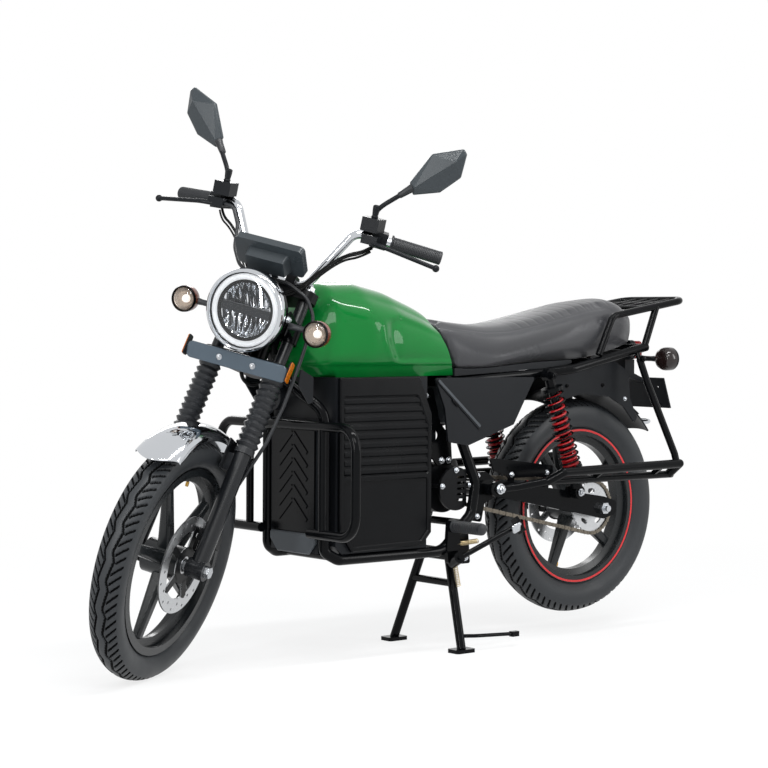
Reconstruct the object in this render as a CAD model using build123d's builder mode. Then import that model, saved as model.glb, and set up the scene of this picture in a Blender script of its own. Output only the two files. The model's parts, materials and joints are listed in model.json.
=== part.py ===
"""Electric commuter motorcycle parked on its centre stand, steering on its left stop. Millimetres.

+X points forward, +Y to the rider's left, +Z up. The origin lies on the floor in the centre plane,
midway along the machine. Steered pieces are modelled straight ahead and turned when they are written.
"""

import math
import os

from build123d import *

os.makedirs("parts", exist_ok=True)

# Stance
WHEELBASE = 1384.0
REAR_AXLE_X = -650.0
REAR_AXLE_Z = 351.0
FRONT_AXLE_Z = 296.2
FRONT_AXLE_X = REAR_AXLE_X + WHEELBASE

# Steering
RAKE = 26.4
FORK_OFFSET = 48.0
STEERING_LOCK = 32.0
LEG_SPACING = 174.0

# Clearances
SEAT_GAP = 0.3
PIN_GAP = 0.3
RUNNING_GAP = 6.0

# Tubes
FRAME_TUBE = 28.0
RAIL_TUBE = 25.0
GUARD_TUBE = 25.0
RACK_TUBE = 20.0
RACK_BAR = 12.0
BAR_TUBE = 22.2

# Front wheel
FRONT_TYRE_R = 300.0
FRONT_TYRE_W = 80.0
FRONT_SEAT_R = 218.0
FRONT_RIM_W = 58.0
FRONT_DISC_R = 120.0
FRONT_AXLE_D = 15.0

# Rear wheel
REAR_TYRE_R = 300.0
REAR_TYRE_W = 100.0
REAR_SEAT_R = 203.0
REAR_RIM_W = 74.0
REAR_DISC_R = 110.0
REAR_AXLE_D = 17.0

# Both wheels
RIM_FLANGE = 14.0
RIM_WALL = 5.0
HUB_R = 42.0
HUB_W = 96.0
SPOKES = 5
DISC_T = 4.0
DISC_HOLES = 12

# Chain drive
CHAIN_PITCH = 12.7
CHAIN_Y = 84.0
CHAIN_W = 16.0
REAR_TEETH = 36
FRONT_TEETH = 16
DRIVE_X = -130.0
DRIVE_Z = 427.0
SPROCKET_T = 6.0

# Battery
CASE_FRONT_X = 322.0
CASE_REAR_X = 0.0
CASE_HALF = 138.0
CASE_FRONT_HALF = 98.0
CASE_LOW_Z = 284.0
CASE_HIGH_Z = 725.0
COVER_T = 12.0
RIB_COUNT = 9
RIB_LOW_Z = 478.0
RIB_HIGH_Z = 677.0

# Tank and seat
TANK_LOW_Z = CASE_HIGH_Z + SEAT_GAP
TUNNEL_HALF = 34.0
SEAT_LOW_Z = 744.0

# Swingarm
PIVOT_X = -245.0
PIVOT_Z = 423.0
PIVOT_D = 16.0
ARM_Y = 118.0
ARM_T = 24.0

# Stands
STAND_PIVOT_X = -150.0
STAND_PIVOT_Z = 246.0
STAND_FOOT_X = -124.0
STAND_FOOT_Y = 138.0
STAND_LEG_Y = 104.0
STAND_TOP_Y = 54.0
STAND_TUBE = 24.0
SIDE_PIVOT = (-93.0, 158.0, 250.0)
SIDE_TIP = (-292.0, 172.0, 327.0)
SIDE_TUBE = 15.0

# Headlight
LAMP_X = 570.0
LAMP_Z = 902.0
BEZEL_R = 103.0
LENS_R = 88.0
BUCKET_DEPTH = 112.0

SIDES = (1, -1)
rake = math.radians(RAKE)
STEER_UP = Vector(-math.sin(rake), 0, math.cos(rake))
STEER_AHEAD = Vector(math.cos(rake), 0, math.sin(rake))
FRONT_AXLE = Vector(FRONT_AXLE_X, 0, FRONT_AXLE_Z)
REAR_AXLE = Vector(REAR_AXLE_X, 0, REAR_AXLE_Z)
STEER_FOOT = FRONT_AXLE - STEER_AHEAD * FORK_OFFSET
STEERING = Axis(STEER_FOOT, STEER_UP)


def on_stem(height):
    """Point of the steering axis at a height along it, counted from the level of the axle."""
    return STEER_FOOT + STEER_UP * height


def on_leg(height, side):
    """Point of a fork leg's centre line."""
    return FRONT_AXLE + STEER_UP * height + Vector(0, side * LEG_SPACING / 2, 0)


def across(point):
    """Plane square to the fork legs, its x ahead."""
    return Plane(origin=point, x_dir=STEER_AHEAD, z_dir=STEER_UP)


def side_plane(y):
    """Upright plane seen from the left, its x forward and its y up. Extruding goes to the right."""
    return Plane(origin=(0, y, 0), x_dir=(1, 0, 0), z_dir=(0, -1, 0))


def radial_plane(axle):
    """Plane through an axle whose x is axial, to the left, and whose y is radial."""
    return Plane(origin=axle, x_dir=(0, 1, 0), z_dir=(1, 0, 0))


def wheel_plane(axle, y):
    """Plane square to an axle at a distance to the left. Extruding goes to the left."""
    return Plane(origin=axle + Vector(0, y, 0), x_dir=(-1, 0, 0), z_dir=(0, 1, 0))


def flip(point, side):
    """The point on the left or on the right."""
    return (point[0], side * point[1], point[2])


def rod(start, end, diameter):
    """Straight round bar between two points."""
    start = Vector(*start)
    run = Vector(*end) - start
    with BuildPart(Plane(origin=start, z_dir=run)) as bar:
        Cylinder(diameter / 2, run.length, align=(Align.CENTER, Align.CENTER, Align.MIN))
    return bar.part


def tube(points, diameter, bend):
    """Round tube along straight runs joined by bends, of one radius or of a list of them."""
    with BuildPart() as bent:
        with BuildLine() as path:
            FilletPolyline(*points, radius=bend)
        with BuildSketch(Plane(origin=points[0], z_dir=path.line % 0)):
            Circle(diameter / 2)
        sweep()
    return bent.part


def plate(outline, y, thickness, corner):
    """Flat plate with rounded corners, its left face at y."""
    with BuildPart() as sheet:
        with BuildSketch(side_plane(y)) as shape:
            with BuildLine():
                Polyline(*outline, close=True)
            make_face()
            fillet(shape.vertices(), corner)
        extrude(amount=thickness)
    return sheet.part


def write(part, label):
    """Label a finished piece and write it."""
    part.label = label
    export_step(part, f"parts/{label}.step")


def write_steered(part, label):
    """Turn a steered piece to the left stop, where the machine is parked, and write it."""
    write(part.rotate(STEERING, STEERING_LOCK), label)


# Wheels
def tyre(axle, radius, width, seat_r, rim_w):
    """Tyre with beads on the rim's seats."""
    half = width / 2
    bead = rim_w / 2 - RIM_WALL - SEAT_GAP
    inner = seat_r + SEAT_GAP
    belly = (radius + inner) / 2
    wall = 9.0
    shoulder = radius - width * 0.2
    with BuildPart() as body:
        with BuildSketch(radial_plane(axle)) as section:
            with BuildLine():
                ThreePointArc((-half * 0.92, shoulder), (0, radius), (half * 0.92, shoulder))
                ThreePointArc((half * 0.92, shoulder), (half, belly), (bead, inner + RIM_FLANGE))
                Line((bead, inner + RIM_FLANGE), (bead, inner))
                Polyline(
                    (bead, inner),
                    (bead - wall, inner),
                    (half - wall, belly),
                    (half * 0.7 - wall, radius - 1.6 * wall),
                    (wall - half * 0.7, radius - 1.6 * wall),
                    (wall - half, belly),
                    (wall - bead, inner),
                    (-bead, inner),
                )
                Line((-bead, inner), (-bead, inner + RIM_FLANGE))
                ThreePointArc((-bead, inner + RIM_FLANGE), (-half, belly), (-half * 0.92, shoulder))
            make_face()
        revolve(axis=Axis(axle, (0, 1, 0)))
    return body.part


def cast_wheel(axle, seat_r, rim_w, axle_d, turn):
    """Cast rim with a dropped well, tapered spokes and a hub bored for its axle."""
    half = rim_w / 2
    flange_r = seat_r + RIM_FLANGE
    well_r = seat_r - 18
    well = half - 18
    spoke_low = HUB_R - 6
    spoke_high = well_r - RIM_WALL / 2
    with BuildPart() as wheel:
        with BuildSketch(radial_plane(axle)):
            with BuildLine():
                Polyline(
                    (half, flange_r),
                    (half - RIM_WALL, flange_r),
                    (half - RIM_WALL, seat_r),
                    (well, seat_r),
                    (well - 6, well_r),
                    (6 - well, well_r),
                    (-well, seat_r),
                    (RIM_WALL - half, seat_r),
                    (RIM_WALL - half, flange_r),
                    (-half, flange_r),
                    (-half, seat_r - RIM_WALL),
                    (-well, seat_r - RIM_WALL),
                    (6 - well, well_r - RIM_WALL),
                    (well - 6, well_r - RIM_WALL),
                    (well, seat_r - RIM_WALL),
                    (half, seat_r - RIM_WALL),
                    close=True,
                )
            make_face()
            with Locations((0, HUB_R / 2)):
                Rectangle(HUB_W, HUB_R)
        revolve(axis=Axis(axle, (0, 1, 0)))
        for index in range(SPOKES):
            angle = turn + index * 360 / SPOKES
            turn = math.radians(angle)
            spoke = Plane(axle, x_dir=(0, 1, 0), z_dir=(math.cos(turn), 0, math.sin(turn)))
            with BuildSketch(spoke.offset(spoke_low)):
                RectangleRounded(34, 34, 8)
            with BuildSketch(spoke.offset(spoke_high)):
                RectangleRounded(22, 26, 8)
            loft()
        with BuildSketch(wheel_plane(axle, -HUB_W / 2)):
            Circle(axle_d / 2 + PIN_GAP)
        extrude(amount=HUB_W, mode=Mode.SUBTRACT)
    return wheel.part


def brake_disc(axle, y, radius, inner_r):
    """Perforated disc on a carrier that seats on the hub's end. Its plane stands at y."""
    with BuildPart() as disc:
        with BuildSketch(wheel_plane(axle, y - DISC_T / 2)):
            Circle(radius)
            Circle(inner_r, mode=Mode.SUBTRACT)
            for ring, shift in ((0.82, 0), (0.92, 0.5)):
                with PolarLocations(radius * ring, DISC_HOLES, start_angle=shift * 360 / DISC_HOLES):
                    Circle(3.5, mode=Mode.SUBTRACT)
        extrude(amount=DISC_T)
        with BuildSketch(wheel_plane(axle, y - DISC_T / 2)):
            with PolarLocations((HUB_R + inner_r) / 2 - 2, SPOKES):
                Rectangle(inner_r - HUB_R + 16, 18)
            Circle(HUB_R)
            Circle(REAR_AXLE_D, mode=Mode.SUBTRACT)
        extrude(amount=DISC_T)
    return disc.part


DISC_Y = HUB_W / 2 + DISC_T / 2
front_rim = cast_wheel(FRONT_AXLE, FRONT_SEAT_R, FRONT_RIM_W, FRONT_AXLE_D, 18)
front_tyre = tyre(FRONT_AXLE, FRONT_TYRE_R, FRONT_TYRE_W, FRONT_SEAT_R, FRONT_RIM_W)
front_disc = brake_disc(FRONT_AXLE, DISC_Y, FRONT_DISC_R, FRONT_DISC_R - 36)
rear_rim = cast_wheel(REAR_AXLE, REAR_SEAT_R, REAR_RIM_W, REAR_AXLE_D, 54)
rear_tyre = tyre(REAR_AXLE, REAR_TYRE_R, REAR_TYRE_W, REAR_SEAT_R, REAR_RIM_W)
rear_disc = brake_disc(REAR_AXLE, -DISC_Y, REAR_DISC_R, REAR_DISC_R - 36)
write_steered(front_rim, "front_rim")
write_steered(front_tyre, "front_tyre")
write_steered(front_disc, "front_disc")
write(rear_rim, "rear_rim")
write(rear_tyre, "rear_tyre")
write(rear_disc, "rear_disc")


# Chain drive
def pitch_radius(teeth):
    """Radius of a chain wheel's pitch circle."""
    return CHAIN_PITCH / 2 / math.sin(math.pi / teeth)


REAR_PITCH_R = pitch_radius(REAR_TEETH)
FRONT_PITCH_R = pitch_radius(FRONT_TEETH)
ROOT_DEPTH = 4.0
TOOTH_TIP = 4.0
LINK_HALF = 5.5

# Rear chain wheel: toothed rim, five lightening windows and a seat on the hub's carrier
with BuildPart() as sprocket:
    carrier_y = HUB_W / 2
    with BuildSketch(wheel_plane(REAR_AXLE, CHAIN_Y - SPROCKET_T / 2)):
        Circle(REAR_PITCH_R - ROOT_DEPTH)
        with PolarLocations(REAR_PITCH_R - ROOT_DEPTH, REAR_TEETH):
            Trapezoid(7.5, 2 * TOOTH_TIP, 74, rotation=-90)
        Circle(REAR_AXLE_D, mode=Mode.SUBTRACT)
        with PolarLocations(REAR_PITCH_R * 0.62, SPOKES, start_angle=18):
            SlotOverall(26, 14, rotation=90, mode=Mode.SUBTRACT)
    extrude(amount=SPROCKET_T)
    with BuildSketch(wheel_plane(REAR_AXLE, carrier_y)):
        Circle(HUB_R - 8)
        Circle(REAR_AXLE_D, mode=Mode.SUBTRACT)
    extrude(amount=CHAIN_Y - SPROCKET_T / 2 - carrier_y)
write(sprocket.part, "sprocket")

DRIVE = Vector(DRIVE_X, 0, DRIVE_Z)
span = REAR_AXLE - DRIVE
run_angle = math.degrees(math.atan2(span.Z, span.X))
lean = math.degrees(math.asin((REAR_PITCH_R - FRONT_PITCH_R) / span.length))


def chain_row(y):
    """One row of side plates, a band on either side of the pitch line, its left face at y."""
    with BuildPart() as row:
        with BuildSketch(side_plane(y)):
            for grow, mode in ((LINK_HALF, Mode.ADD), (-LINK_HALF, Mode.SUBTRACT)):
                points = {}
                wheels = (("rear", REAR_AXLE, REAR_PITCH_R), ("front", DRIVE, FRONT_PITCH_R))
                for name, centre, radius in wheels:
                    reach = radius + grow
                    for edge, turn in (("low", 90 - lean), ("high", lean - 90), ("end", 0)):
                        outward = turn if edge != "end" or name == "rear" else 180
                        angle = math.radians(run_angle + outward)
                        across_x, rise_z = reach * math.cos(angle), reach * math.sin(angle)
                        points[name, edge] = (centre.X + across_x, centre.Z + rise_z)
                with BuildLine():
                    Line(points["front", "low"], points["rear", "low"])
                    ThreePointArc(points["rear", "low"], points["rear", "end"], points["rear", "high"])
                    Line(points["rear", "high"], points["front", "high"])
                    ThreePointArc(points["front", "high"], points["front", "end"], points["front", "low"])
                make_face(mode=mode)
        extrude(amount=PLATE_T)
    return row.part


# Chain: two rows of side plates that straddle the chain wheels
PLATE_T = 3.0
with BuildPart() as chain:
    add(chain_row(CHAIN_Y + CHAIN_W / 2))
    add(chain_row(CHAIN_Y - CHAIN_W / 2 + PLATE_T))
write(chain.part, "chain")

# Fork: heights are counted along the legs from the axle
STANCHION_D = 31.0
SLIDER_D = 42.0
SLIDER_TOP = 300.0
GAITER_R = 29.0
GAITER_WAIST = 23.0
GAITER_RIBS = 11
GAITER_LOW = 318.0
GAITER_HIGH = 502.0
YOKE_LOW = 512.0
YOKE_T = 26.0
YOKE_HIGH = 712.0
LEG_TOP = 742.0
YOKE_R = 28.0
STEM_D = 30.0
HEAD_TUBE_D = 54.0
LUG_D = 48.0
LUG_L = 46.0
AXLE_STICK_OUT = 32.0
FENDER_IN_R = 335.0
FENDER_T = 3.0
FENDER_HALF = 50.0
STAY_T = 4.0
FENDER_SKIRT_R = 306.0
FENDER_START = 50.0
FENDER_ARC = 86.0
LEG_ANGLE = 90 + RAKE

with BuildPart() as fork_legs:
    for side in SIDES:
        with BuildSketch(across(on_leg(SLIDER_TOP, side))):
            Circle(STANCHION_D / 2)
        extrude(amount=LEG_TOP - SLIDER_TOP)
        with BuildSketch(across(on_leg(0, side))):
            Circle(SLIDER_D / 2)
        extrude(amount=SLIDER_TOP)
        with BuildSketch(wheel_plane(FRONT_AXLE, side * LEG_SPACING / 2 - LUG_L / 2)):
            Circle(LUG_D / 2)
        extrude(amount=LUG_L)
        # Stay that carries the fender's skirt, on a block from the slider
        stay_in = FENDER_HALF + SEAT_GAP
        block_out = LEG_SPACING / 2 - SLIDER_D / 4
        block = Plane(FRONT_AXLE, x_dir=(0, 1, 0), z_dir=STEER_UP).offset(SLIDER_TOP - 50)
        with BuildSketch(block):
            with Locations((side * (stay_in + block_out) / 2, 0)):
                Rectangle(block_out - stay_in, 26)
        extrude(amount=44)
        with BuildSketch(block):
            with Locations((side * (stay_in + STAY_T / 2), 0)):
                Rectangle(STAY_T, 54)
        extrude(amount=FENDER_SKIRT_R + 20 - SLIDER_TOP + 50)
    with BuildSketch(wheel_plane(FRONT_AXLE, -LEG_SPACING)):
        Circle(FRONT_AXLE_D / 2 + PIN_GAP)
    extrude(amount=2 * LEG_SPACING, mode=Mode.SUBTRACT)
write_steered(fork_legs.part, "fork_legs")

# Front axle with its spacers and nuts
with BuildPart() as front_axle:
    axle_half = LEG_SPACING / 2 + AXLE_STICK_OUT
    with BuildSketch(wheel_plane(FRONT_AXLE, -axle_half)):
        Circle(FRONT_AXLE_D / 2)
    extrude(amount=2 * axle_half)
    spacer_in = HUB_W / 2 + PIN_GAP
    spacer = LEG_SPACING / 2 - LUG_L / 2 - spacer_in - PIN_GAP
    nut_in = LEG_SPACING / 2 + LUG_L / 2 + PIN_GAP
    for start in (spacer_in, -spacer_in - spacer):
        with BuildSketch(wheel_plane(FRONT_AXLE, start)):
            Circle(FRONT_AXLE_D / 2 + 5)
        extrude(amount=spacer)
    for start in (nut_in, -nut_in - 12):
        with BuildSketch(wheel_plane(FRONT_AXLE, start)):
            RegularPolygon(15, 6)
        extrude(amount=12)
write_steered(front_axle.part, "front_axle")

with BuildPart() as fork_gaiters:
    for side in SIDES:
        foot = on_leg(0, side)
        bore = STANCHION_D / 2 + SEAT_GAP
        cuff = SLIDER_D / 2 + 4
        pitch = (GAITER_HIGH - GAITER_LOW) / GAITER_RIBS
        zigzag = []
        for rib in range(GAITER_RIBS):
            zigzag.append((GAITER_WAIST, GAITER_LOW + rib * pitch))
            zigzag.append((GAITER_R, GAITER_LOW + (rib + 0.5) * pitch))
        with BuildSketch(Plane(origin=foot, x_dir=STEER_AHEAD, z_dir=(0, -1, 0))):
            with BuildLine():
                Polyline(
                    (bore, SLIDER_TOP + SEAT_GAP),
                    (cuff, SLIDER_TOP + SEAT_GAP),
                    (cuff, GAITER_LOW - 4),
                    *zigzag,
                    (GAITER_WAIST, GAITER_HIGH),
                    (GAITER_WAIST, YOKE_LOW - SEAT_GAP),
                    (bore, YOKE_LOW - SEAT_GAP),
                    close=True,
                )
            make_face()
        revolve(axis=Axis(foot, STEER_UP))
write_steered(fork_gaiters.part, "fork_gaiters")

# Yokes, stem and handlebar clamps
CLAMP_RISE = 14.0
BAR_HEIGHT = YOKE_HIGH + YOKE_T + CLAMP_RISE
CLAMP_Y = 36.0
CLAMP_W = 26.0
BAR_CENTRE = on_leg(BAR_HEIGHT, 0)
with BuildPart() as fork_yokes:
    for height in (YOKE_LOW, YOKE_HIGH):
        with BuildSketch(across(on_stem(height))):
            Circle(YOKE_R + 2)
            with Locations((FORK_OFFSET, LEG_SPACING / 2), (FORK_OFFSET, -LEG_SPACING / 2)):
                Circle(YOKE_R)
            make_hull()
            with Locations((FORK_OFFSET, LEG_SPACING / 2), (FORK_OFFSET, -LEG_SPACING / 2)):
                Circle(STANCHION_D / 2 + SEAT_GAP, mode=Mode.SUBTRACT)
        extrude(amount=YOKE_T)
    with BuildSketch(across(on_stem(YOKE_LOW))):
        Circle(STEM_D / 2)
    extrude(amount=YOKE_HIGH - YOKE_LOW)
    for side in SIDES:
        with BuildSketch(across(on_stem(YOKE_HIGH + YOKE_T))):
            with Locations((FORK_OFFSET, side * CLAMP_Y)):
                Rectangle(34, CLAMP_W)
        extrude(amount=BAR_HEIGHT + 18 - YOKE_HIGH - YOKE_T)
    with BuildSketch(Plane(origin=BAR_CENTRE, z_dir=(0, 1, 0))):
        Circle(BAR_TUBE / 2 + SEAT_GAP)
    extrude(amount=LEG_SPACING / 2, both=True, mode=Mode.SUBTRACT)
write_steered(fork_yokes.part, "fork_yokes")

with BuildPart() as front_fender:
    start = math.radians(FENDER_START)
    section = Plane(FRONT_AXLE, x_dir=(0, 1, 0), z_dir=(math.sin(start), 0, -math.cos(start)))
    crown_out = FENDER_IN_R + FENDER_T
    brim_in = FENDER_IN_R - 14
    inner_half = FENDER_HALF - FENDER_T
    with BuildSketch(section):
        with BuildLine():
            Line((-FENDER_HALF, FENDER_SKIRT_R), (-FENDER_HALF, brim_in))
            ThreePointArc((-FENDER_HALF, brim_in), (0, crown_out), (FENDER_HALF, brim_in))
            Line((FENDER_HALF, brim_in), (FENDER_HALF, FENDER_SKIRT_R))
            Line((FENDER_HALF, FENDER_SKIRT_R), (inner_half, FENDER_SKIRT_R))
            Line((inner_half, FENDER_SKIRT_R), (inner_half, brim_in - FENDER_T))
            inner_brim = brim_in - FENDER_T
            ThreePointArc((inner_half, inner_brim), (0, FENDER_IN_R), (-inner_half, inner_brim))
            Line((-inner_half, brim_in - FENDER_T), (-inner_half, FENDER_SKIRT_R))
            Line((-inner_half, FENDER_SKIRT_R), (-FENDER_HALF, FENDER_SKIRT_R))
        make_face()
    revolve(axis=Axis(FRONT_AXLE, (0, -1, 0)), revolution_arc=FENDER_ARC)
write_steered(front_fender.part, "front_fender")

# Front caliper behind the left leg, astride the disc, with its bracket on the slider
CALIPER_BACK = 74.0
CALIPER_UP = 84.0
PAD_GAP = 3.0
with BuildPart() as front_caliper:
    body = FRONT_AXLE + STEER_UP * CALIPER_UP - STEER_AHEAD * CALIPER_BACK
    with Locations(Plane(body + Vector(0, DISC_Y, 0), x_dir=STEER_AHEAD, z_dir=STEER_UP)):
        Box(46, 40, 74)
    bracket_in = DISC_Y + DISC_T / 2 + PAD_GAP
    bracket_out = LEG_SPACING / 2
    with Locations(Plane(body + Vector(0, bracket_in, 0), x_dir=STEER_AHEAD, z_dir=STEER_UP)):
        Box(CALIPER_BACK, bracket_out - bracket_in, 30, align=(Align.MIN, Align.MIN, Align.CENTER))
    with BuildSketch(wheel_plane(FRONT_AXLE, DISC_Y - DISC_T / 2 - PAD_GAP)):
        Circle(FRONT_DISC_R + PAD_GAP)
    extrude(amount=DISC_T + 2 * PAD_GAP, mode=Mode.SUBTRACT)
    with BuildSketch(across(on_leg(0, 1))):
        Circle(SLIDER_D / 2 + SEAT_GAP)
    extrude(amount=SLIDER_TOP, mode=Mode.SUBTRACT)
write_steered(front_caliper.part, "front_caliper")

# Headlight: bucket, bezel and lens about its own forward axis
LAMP = Vector(LAMP_X, 0, LAMP_Z)
BUCKET_WALL = 4.0
lamp_section = Plane(origin=LAMP, x_dir=(1, 0, 0), z_dir=(0, -1, 0))
lamp_axis = Axis(LAMP, (1, 0, 0))
BUCKET_R = BEZEL_R - 9
with BuildPart() as headlight_shell:
    with BuildSketch(lamp_section):
        with BuildLine():
            Line((-14, BUCKET_R), (-52, BUCKET_R))
            ThreePointArc((-52, BUCKET_R), (-90, BUCKET_R * 0.78), (-BUCKET_DEPTH, BUCKET_R * 0.42))
            Line((-BUCKET_DEPTH, BUCKET_R * 0.42), (-BUCKET_DEPTH, 0))
            Line((-BUCKET_DEPTH, 0), (BUCKET_WALL - BUCKET_DEPTH, 0))
            Line((BUCKET_WALL - BUCKET_DEPTH, 0), (BUCKET_WALL - BUCKET_DEPTH, BUCKET_R * 0.42 - BUCKET_WALL))
            ThreePointArc(
                (BUCKET_WALL - BUCKET_DEPTH, BUCKET_R * 0.42 - BUCKET_WALL),
                (BUCKET_WALL - 90, BUCKET_R * 0.78 - BUCKET_WALL),
                (-52, BUCKET_R - BUCKET_WALL),
            )
            Line((-52, BUCKET_R - BUCKET_WALL), (-14, BUCKET_R - BUCKET_WALL))
            Line((-14, BUCKET_R - BUCKET_WALL), (-14, BUCKET_R))
        make_face()
    revolve(axis=lamp_axis)
write_steered(headlight_shell.part, "headlight_shell")

with BuildPart() as headlight_bezel:
    with BuildSketch(lamp_section):
        with BuildLine():
            Line((-26, BUCKET_R + SEAT_GAP), (-26, BEZEL_R - 2))
            ThreePointArc((-26, BEZEL_R - 2), (-6, BEZEL_R), (6, LENS_R + 4))
            Line((6, LENS_R + 4), (6, LENS_R + SEAT_GAP))
            Line((6, LENS_R + SEAT_GAP), (SEAT_GAP - 14, LENS_R + SEAT_GAP))
            Line((SEAT_GAP - 14, LENS_R + SEAT_GAP), (SEAT_GAP - 14, BUCKET_R + SEAT_GAP))
            Line((SEAT_GAP - 14, BUCKET_R + SEAT_GAP), (-26, BUCKET_R + SEAT_GAP))
        make_face()
    revolve(axis=lamp_axis)
write_steered(headlight_bezel.part, "headlight_bezel")

LENS_RISE = 10.0
LENS_T = 5.0
dome_r = (LENS_R**2 + LENS_RISE**2) / (2 * LENS_RISE)
half_dome = math.asin(LENS_R / dome_r) / 2
dome_mid = (LENS_RISE - dome_r + dome_r * math.cos(half_dome), dome_r * math.sin(half_dome))
with BuildPart() as headlight_lens:
    with BuildSketch(lamp_section):
        with BuildLine():
            ThreePointArc((0, LENS_R), dome_mid, (LENS_RISE, 0))
            Polyline(
                (LENS_RISE, 0),
                (LENS_RISE - LENS_T, 0),
                (-LENS_T, LENS_R - 3),
                (-LENS_T, LENS_R),
                (0, LENS_R),
            )
        make_face()
    revolve(axis=lamp_axis)
write_steered(headlight_lens.part, "headlight_lens")

# Lamp brackets: rings on the stanchions, ears to the bucket
EAR_Y = BEZEL_R - 5
EAR_T = 4.0
EAR_LOW_H = YOKE_HIGH - 112
EAR_RING = 50.0
with BuildPart() as lamp_brackets:
    for side in SIDES:
        with BuildSketch(across(on_leg(EAR_LOW_H, side))):
            Circle(STANCHION_D / 2 + 6)
        extrude(amount=EAR_RING)
        ear = plate(
            (
                (on_leg(EAR_LOW_H, 0).X + 4, on_leg(EAR_LOW_H, 0).Z + 12),
                (on_leg(EAR_LOW_H + EAR_RING, 0).X + 4, on_leg(EAR_LOW_H + EAR_RING, 0).Z - 4),
                (LAMP_X - 50, LAMP_Z + 20),
                (LAMP_X - 30, LAMP_Z),
                (LAMP_X - 50, LAMP_Z - 20),
            ),
            side * (EAR_Y + EAR_T / 2) + EAR_T / 2,
            EAR_T,
            4,
        )
        add(ear)
        add(rod((LAMP_X - 50, side * EAR_Y, LAMP_Z), (LAMP_X - 50, side * (BUCKET_R + SEAT_GAP), LAMP_Z), 14))
    for side in SIDES:
        with BuildSketch(across(on_leg(EAR_LOW_H - 1, side))):
            Circle(STANCHION_D / 2 + SEAT_GAP)
        extrude(amount=EAR_RING + 2, mode=Mode.SUBTRACT)
    with BuildSketch(Plane(origin=LAMP, z_dir=(-1, 0, 0))):
        Circle(BUCKET_R + SEAT_GAP)
    extrude(amount=BUCKET_DEPTH, mode=Mode.SUBTRACT)
write_steered(lamp_brackets.part, "lamp_brackets")

# Front indicators on stems from the ears
WINKER = (520.0, 182.0, 885.0)
WINKER_R = 33.0
WINKER_L = 46.0
with BuildPart() as front_indicators:
    for side in SIDES:
        centre = flip(WINKER, side)
        with Locations(Plane(origin=centre, z_dir=(1, 0, 0))):
            Cylinder(WINKER_R, WINKER_L)
        stem_in = (WINKER[0] - 6, side * (EAR_Y + EAR_T + SEAT_GAP), WINKER[2])
        add(rod(stem_in, (WINKER[0] - 6, side * WINKER[1], WINKER[2]), 16))
write_steered(front_indicators.part, "front_indicators")

# Plate bar under the headlight on its bracket, with a reflector at each end
YOKE_NOSE = on_stem(YOKE_LOW + YOKE_T / 2) + STEER_AHEAD * (FORK_OFFSET + YOKE_R)
BAR_PLATE_X = YOKE_NOSE.X + 26
BAR_PLATE_Z = YOKE_NOSE.Z - 6
BAR_PLATE_L = 274.0
BAR_PLATE_H = 32.0
BAR_PLATE_T = 6.0
with BuildPart() as plate_bar:
    with BuildSketch(Plane(origin=(BAR_PLATE_X, 0, BAR_PLATE_Z), x_dir=(0, 1, 0), z_dir=(1, 0, 0))):
        RectangleRounded(BAR_PLATE_L, BAR_PLATE_H, 9)
    extrude(amount=BAR_PLATE_T)
    for side in SIDES:
        foot = YOKE_NOSE + Vector(SEAT_GAP, side * 40, 0)
        add(rod((foot.X, foot.Y, BAR_PLATE_Z), (BAR_PLATE_X + 1, foot.Y, BAR_PLATE_Z), 12))
    with BuildSketch(across(on_stem(YOKE_LOW - 1))):
        Circle(YOKE_R + 2 + SEAT_GAP)
        with Locations((FORK_OFFSET, LEG_SPACING / 2), (FORK_OFFSET, -LEG_SPACING / 2)):
            Circle(YOKE_R + SEAT_GAP)
        make_hull()
    extrude(amount=YOKE_T + 2, mode=Mode.SUBTRACT)
write_steered(plate_bar.part, "plate_bar")

with BuildPart() as front_reflectors:
    for side in SIDES:
        bar_end = side * (BAR_PLATE_L / 2 + 4 + SEAT_GAP)
        with Locations(Plane(origin=(BAR_PLATE_X + BAR_PLATE_T / 2, bar_end, BAR_PLATE_Z))):
            Box(26, 8, 46)
write_steered(front_reflectors.part, "front_reflectors")

# Display with the smaller housing at its back, on a post from the upper yoke
DISPLAY = BAR_CENTRE + Vector(74.4, 0, 68.2)
DISPLAY_W = 184.0
DISPLAY_H = 84.0
DISPLAY_T = 20.0
DISPLAY_TILT = 38.0
tilt = math.radians(DISPLAY_TILT)
display_plane = Plane(DISPLAY, x_dir=(0, 1, 0), z_dir=(math.cos(tilt), 0, -math.sin(tilt)))
with BuildPart() as display:
    with BuildSketch(display_plane):
        RectangleRounded(DISPLAY_W, DISPLAY_H, 12)
    extrude(amount=DISPLAY_T / 2, both=True)
    with BuildSketch(display_plane.offset(DISPLAY_T / 2)):
        with Locations((0, -8)):
            RectangleRounded(DISPLAY_W * 0.62, DISPLAY_H * 0.66, 8)
    extrude(amount=26, taper=12)
    post_foot = on_stem(YOKE_HIGH + YOKE_T + SEAT_GAP) + STEER_AHEAD * FORK_OFFSET
    add(rod((post_foot.X, 0, post_foot.Z), (DISPLAY.X, 0, DISPLAY.Z - 6), 16))
    with BuildSketch(across(on_stem(YOKE_LOW))):
        with Locations((FORK_OFFSET, 0)):
            Rectangle(120, 60)
    extrude(amount=YOKE_HIGH + YOKE_T + SEAT_GAP - YOKE_LOW, mode=Mode.SUBTRACT)
    with BuildSketch(Plane(origin=BAR_CENTRE, z_dir=(0, 1, 0))):
        Circle(BAR_TUBE / 2 + SEAT_GAP)
    extrude(amount=40, both=True, mode=Mode.SUBTRACT)
write_steered(display.part, "display")

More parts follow.
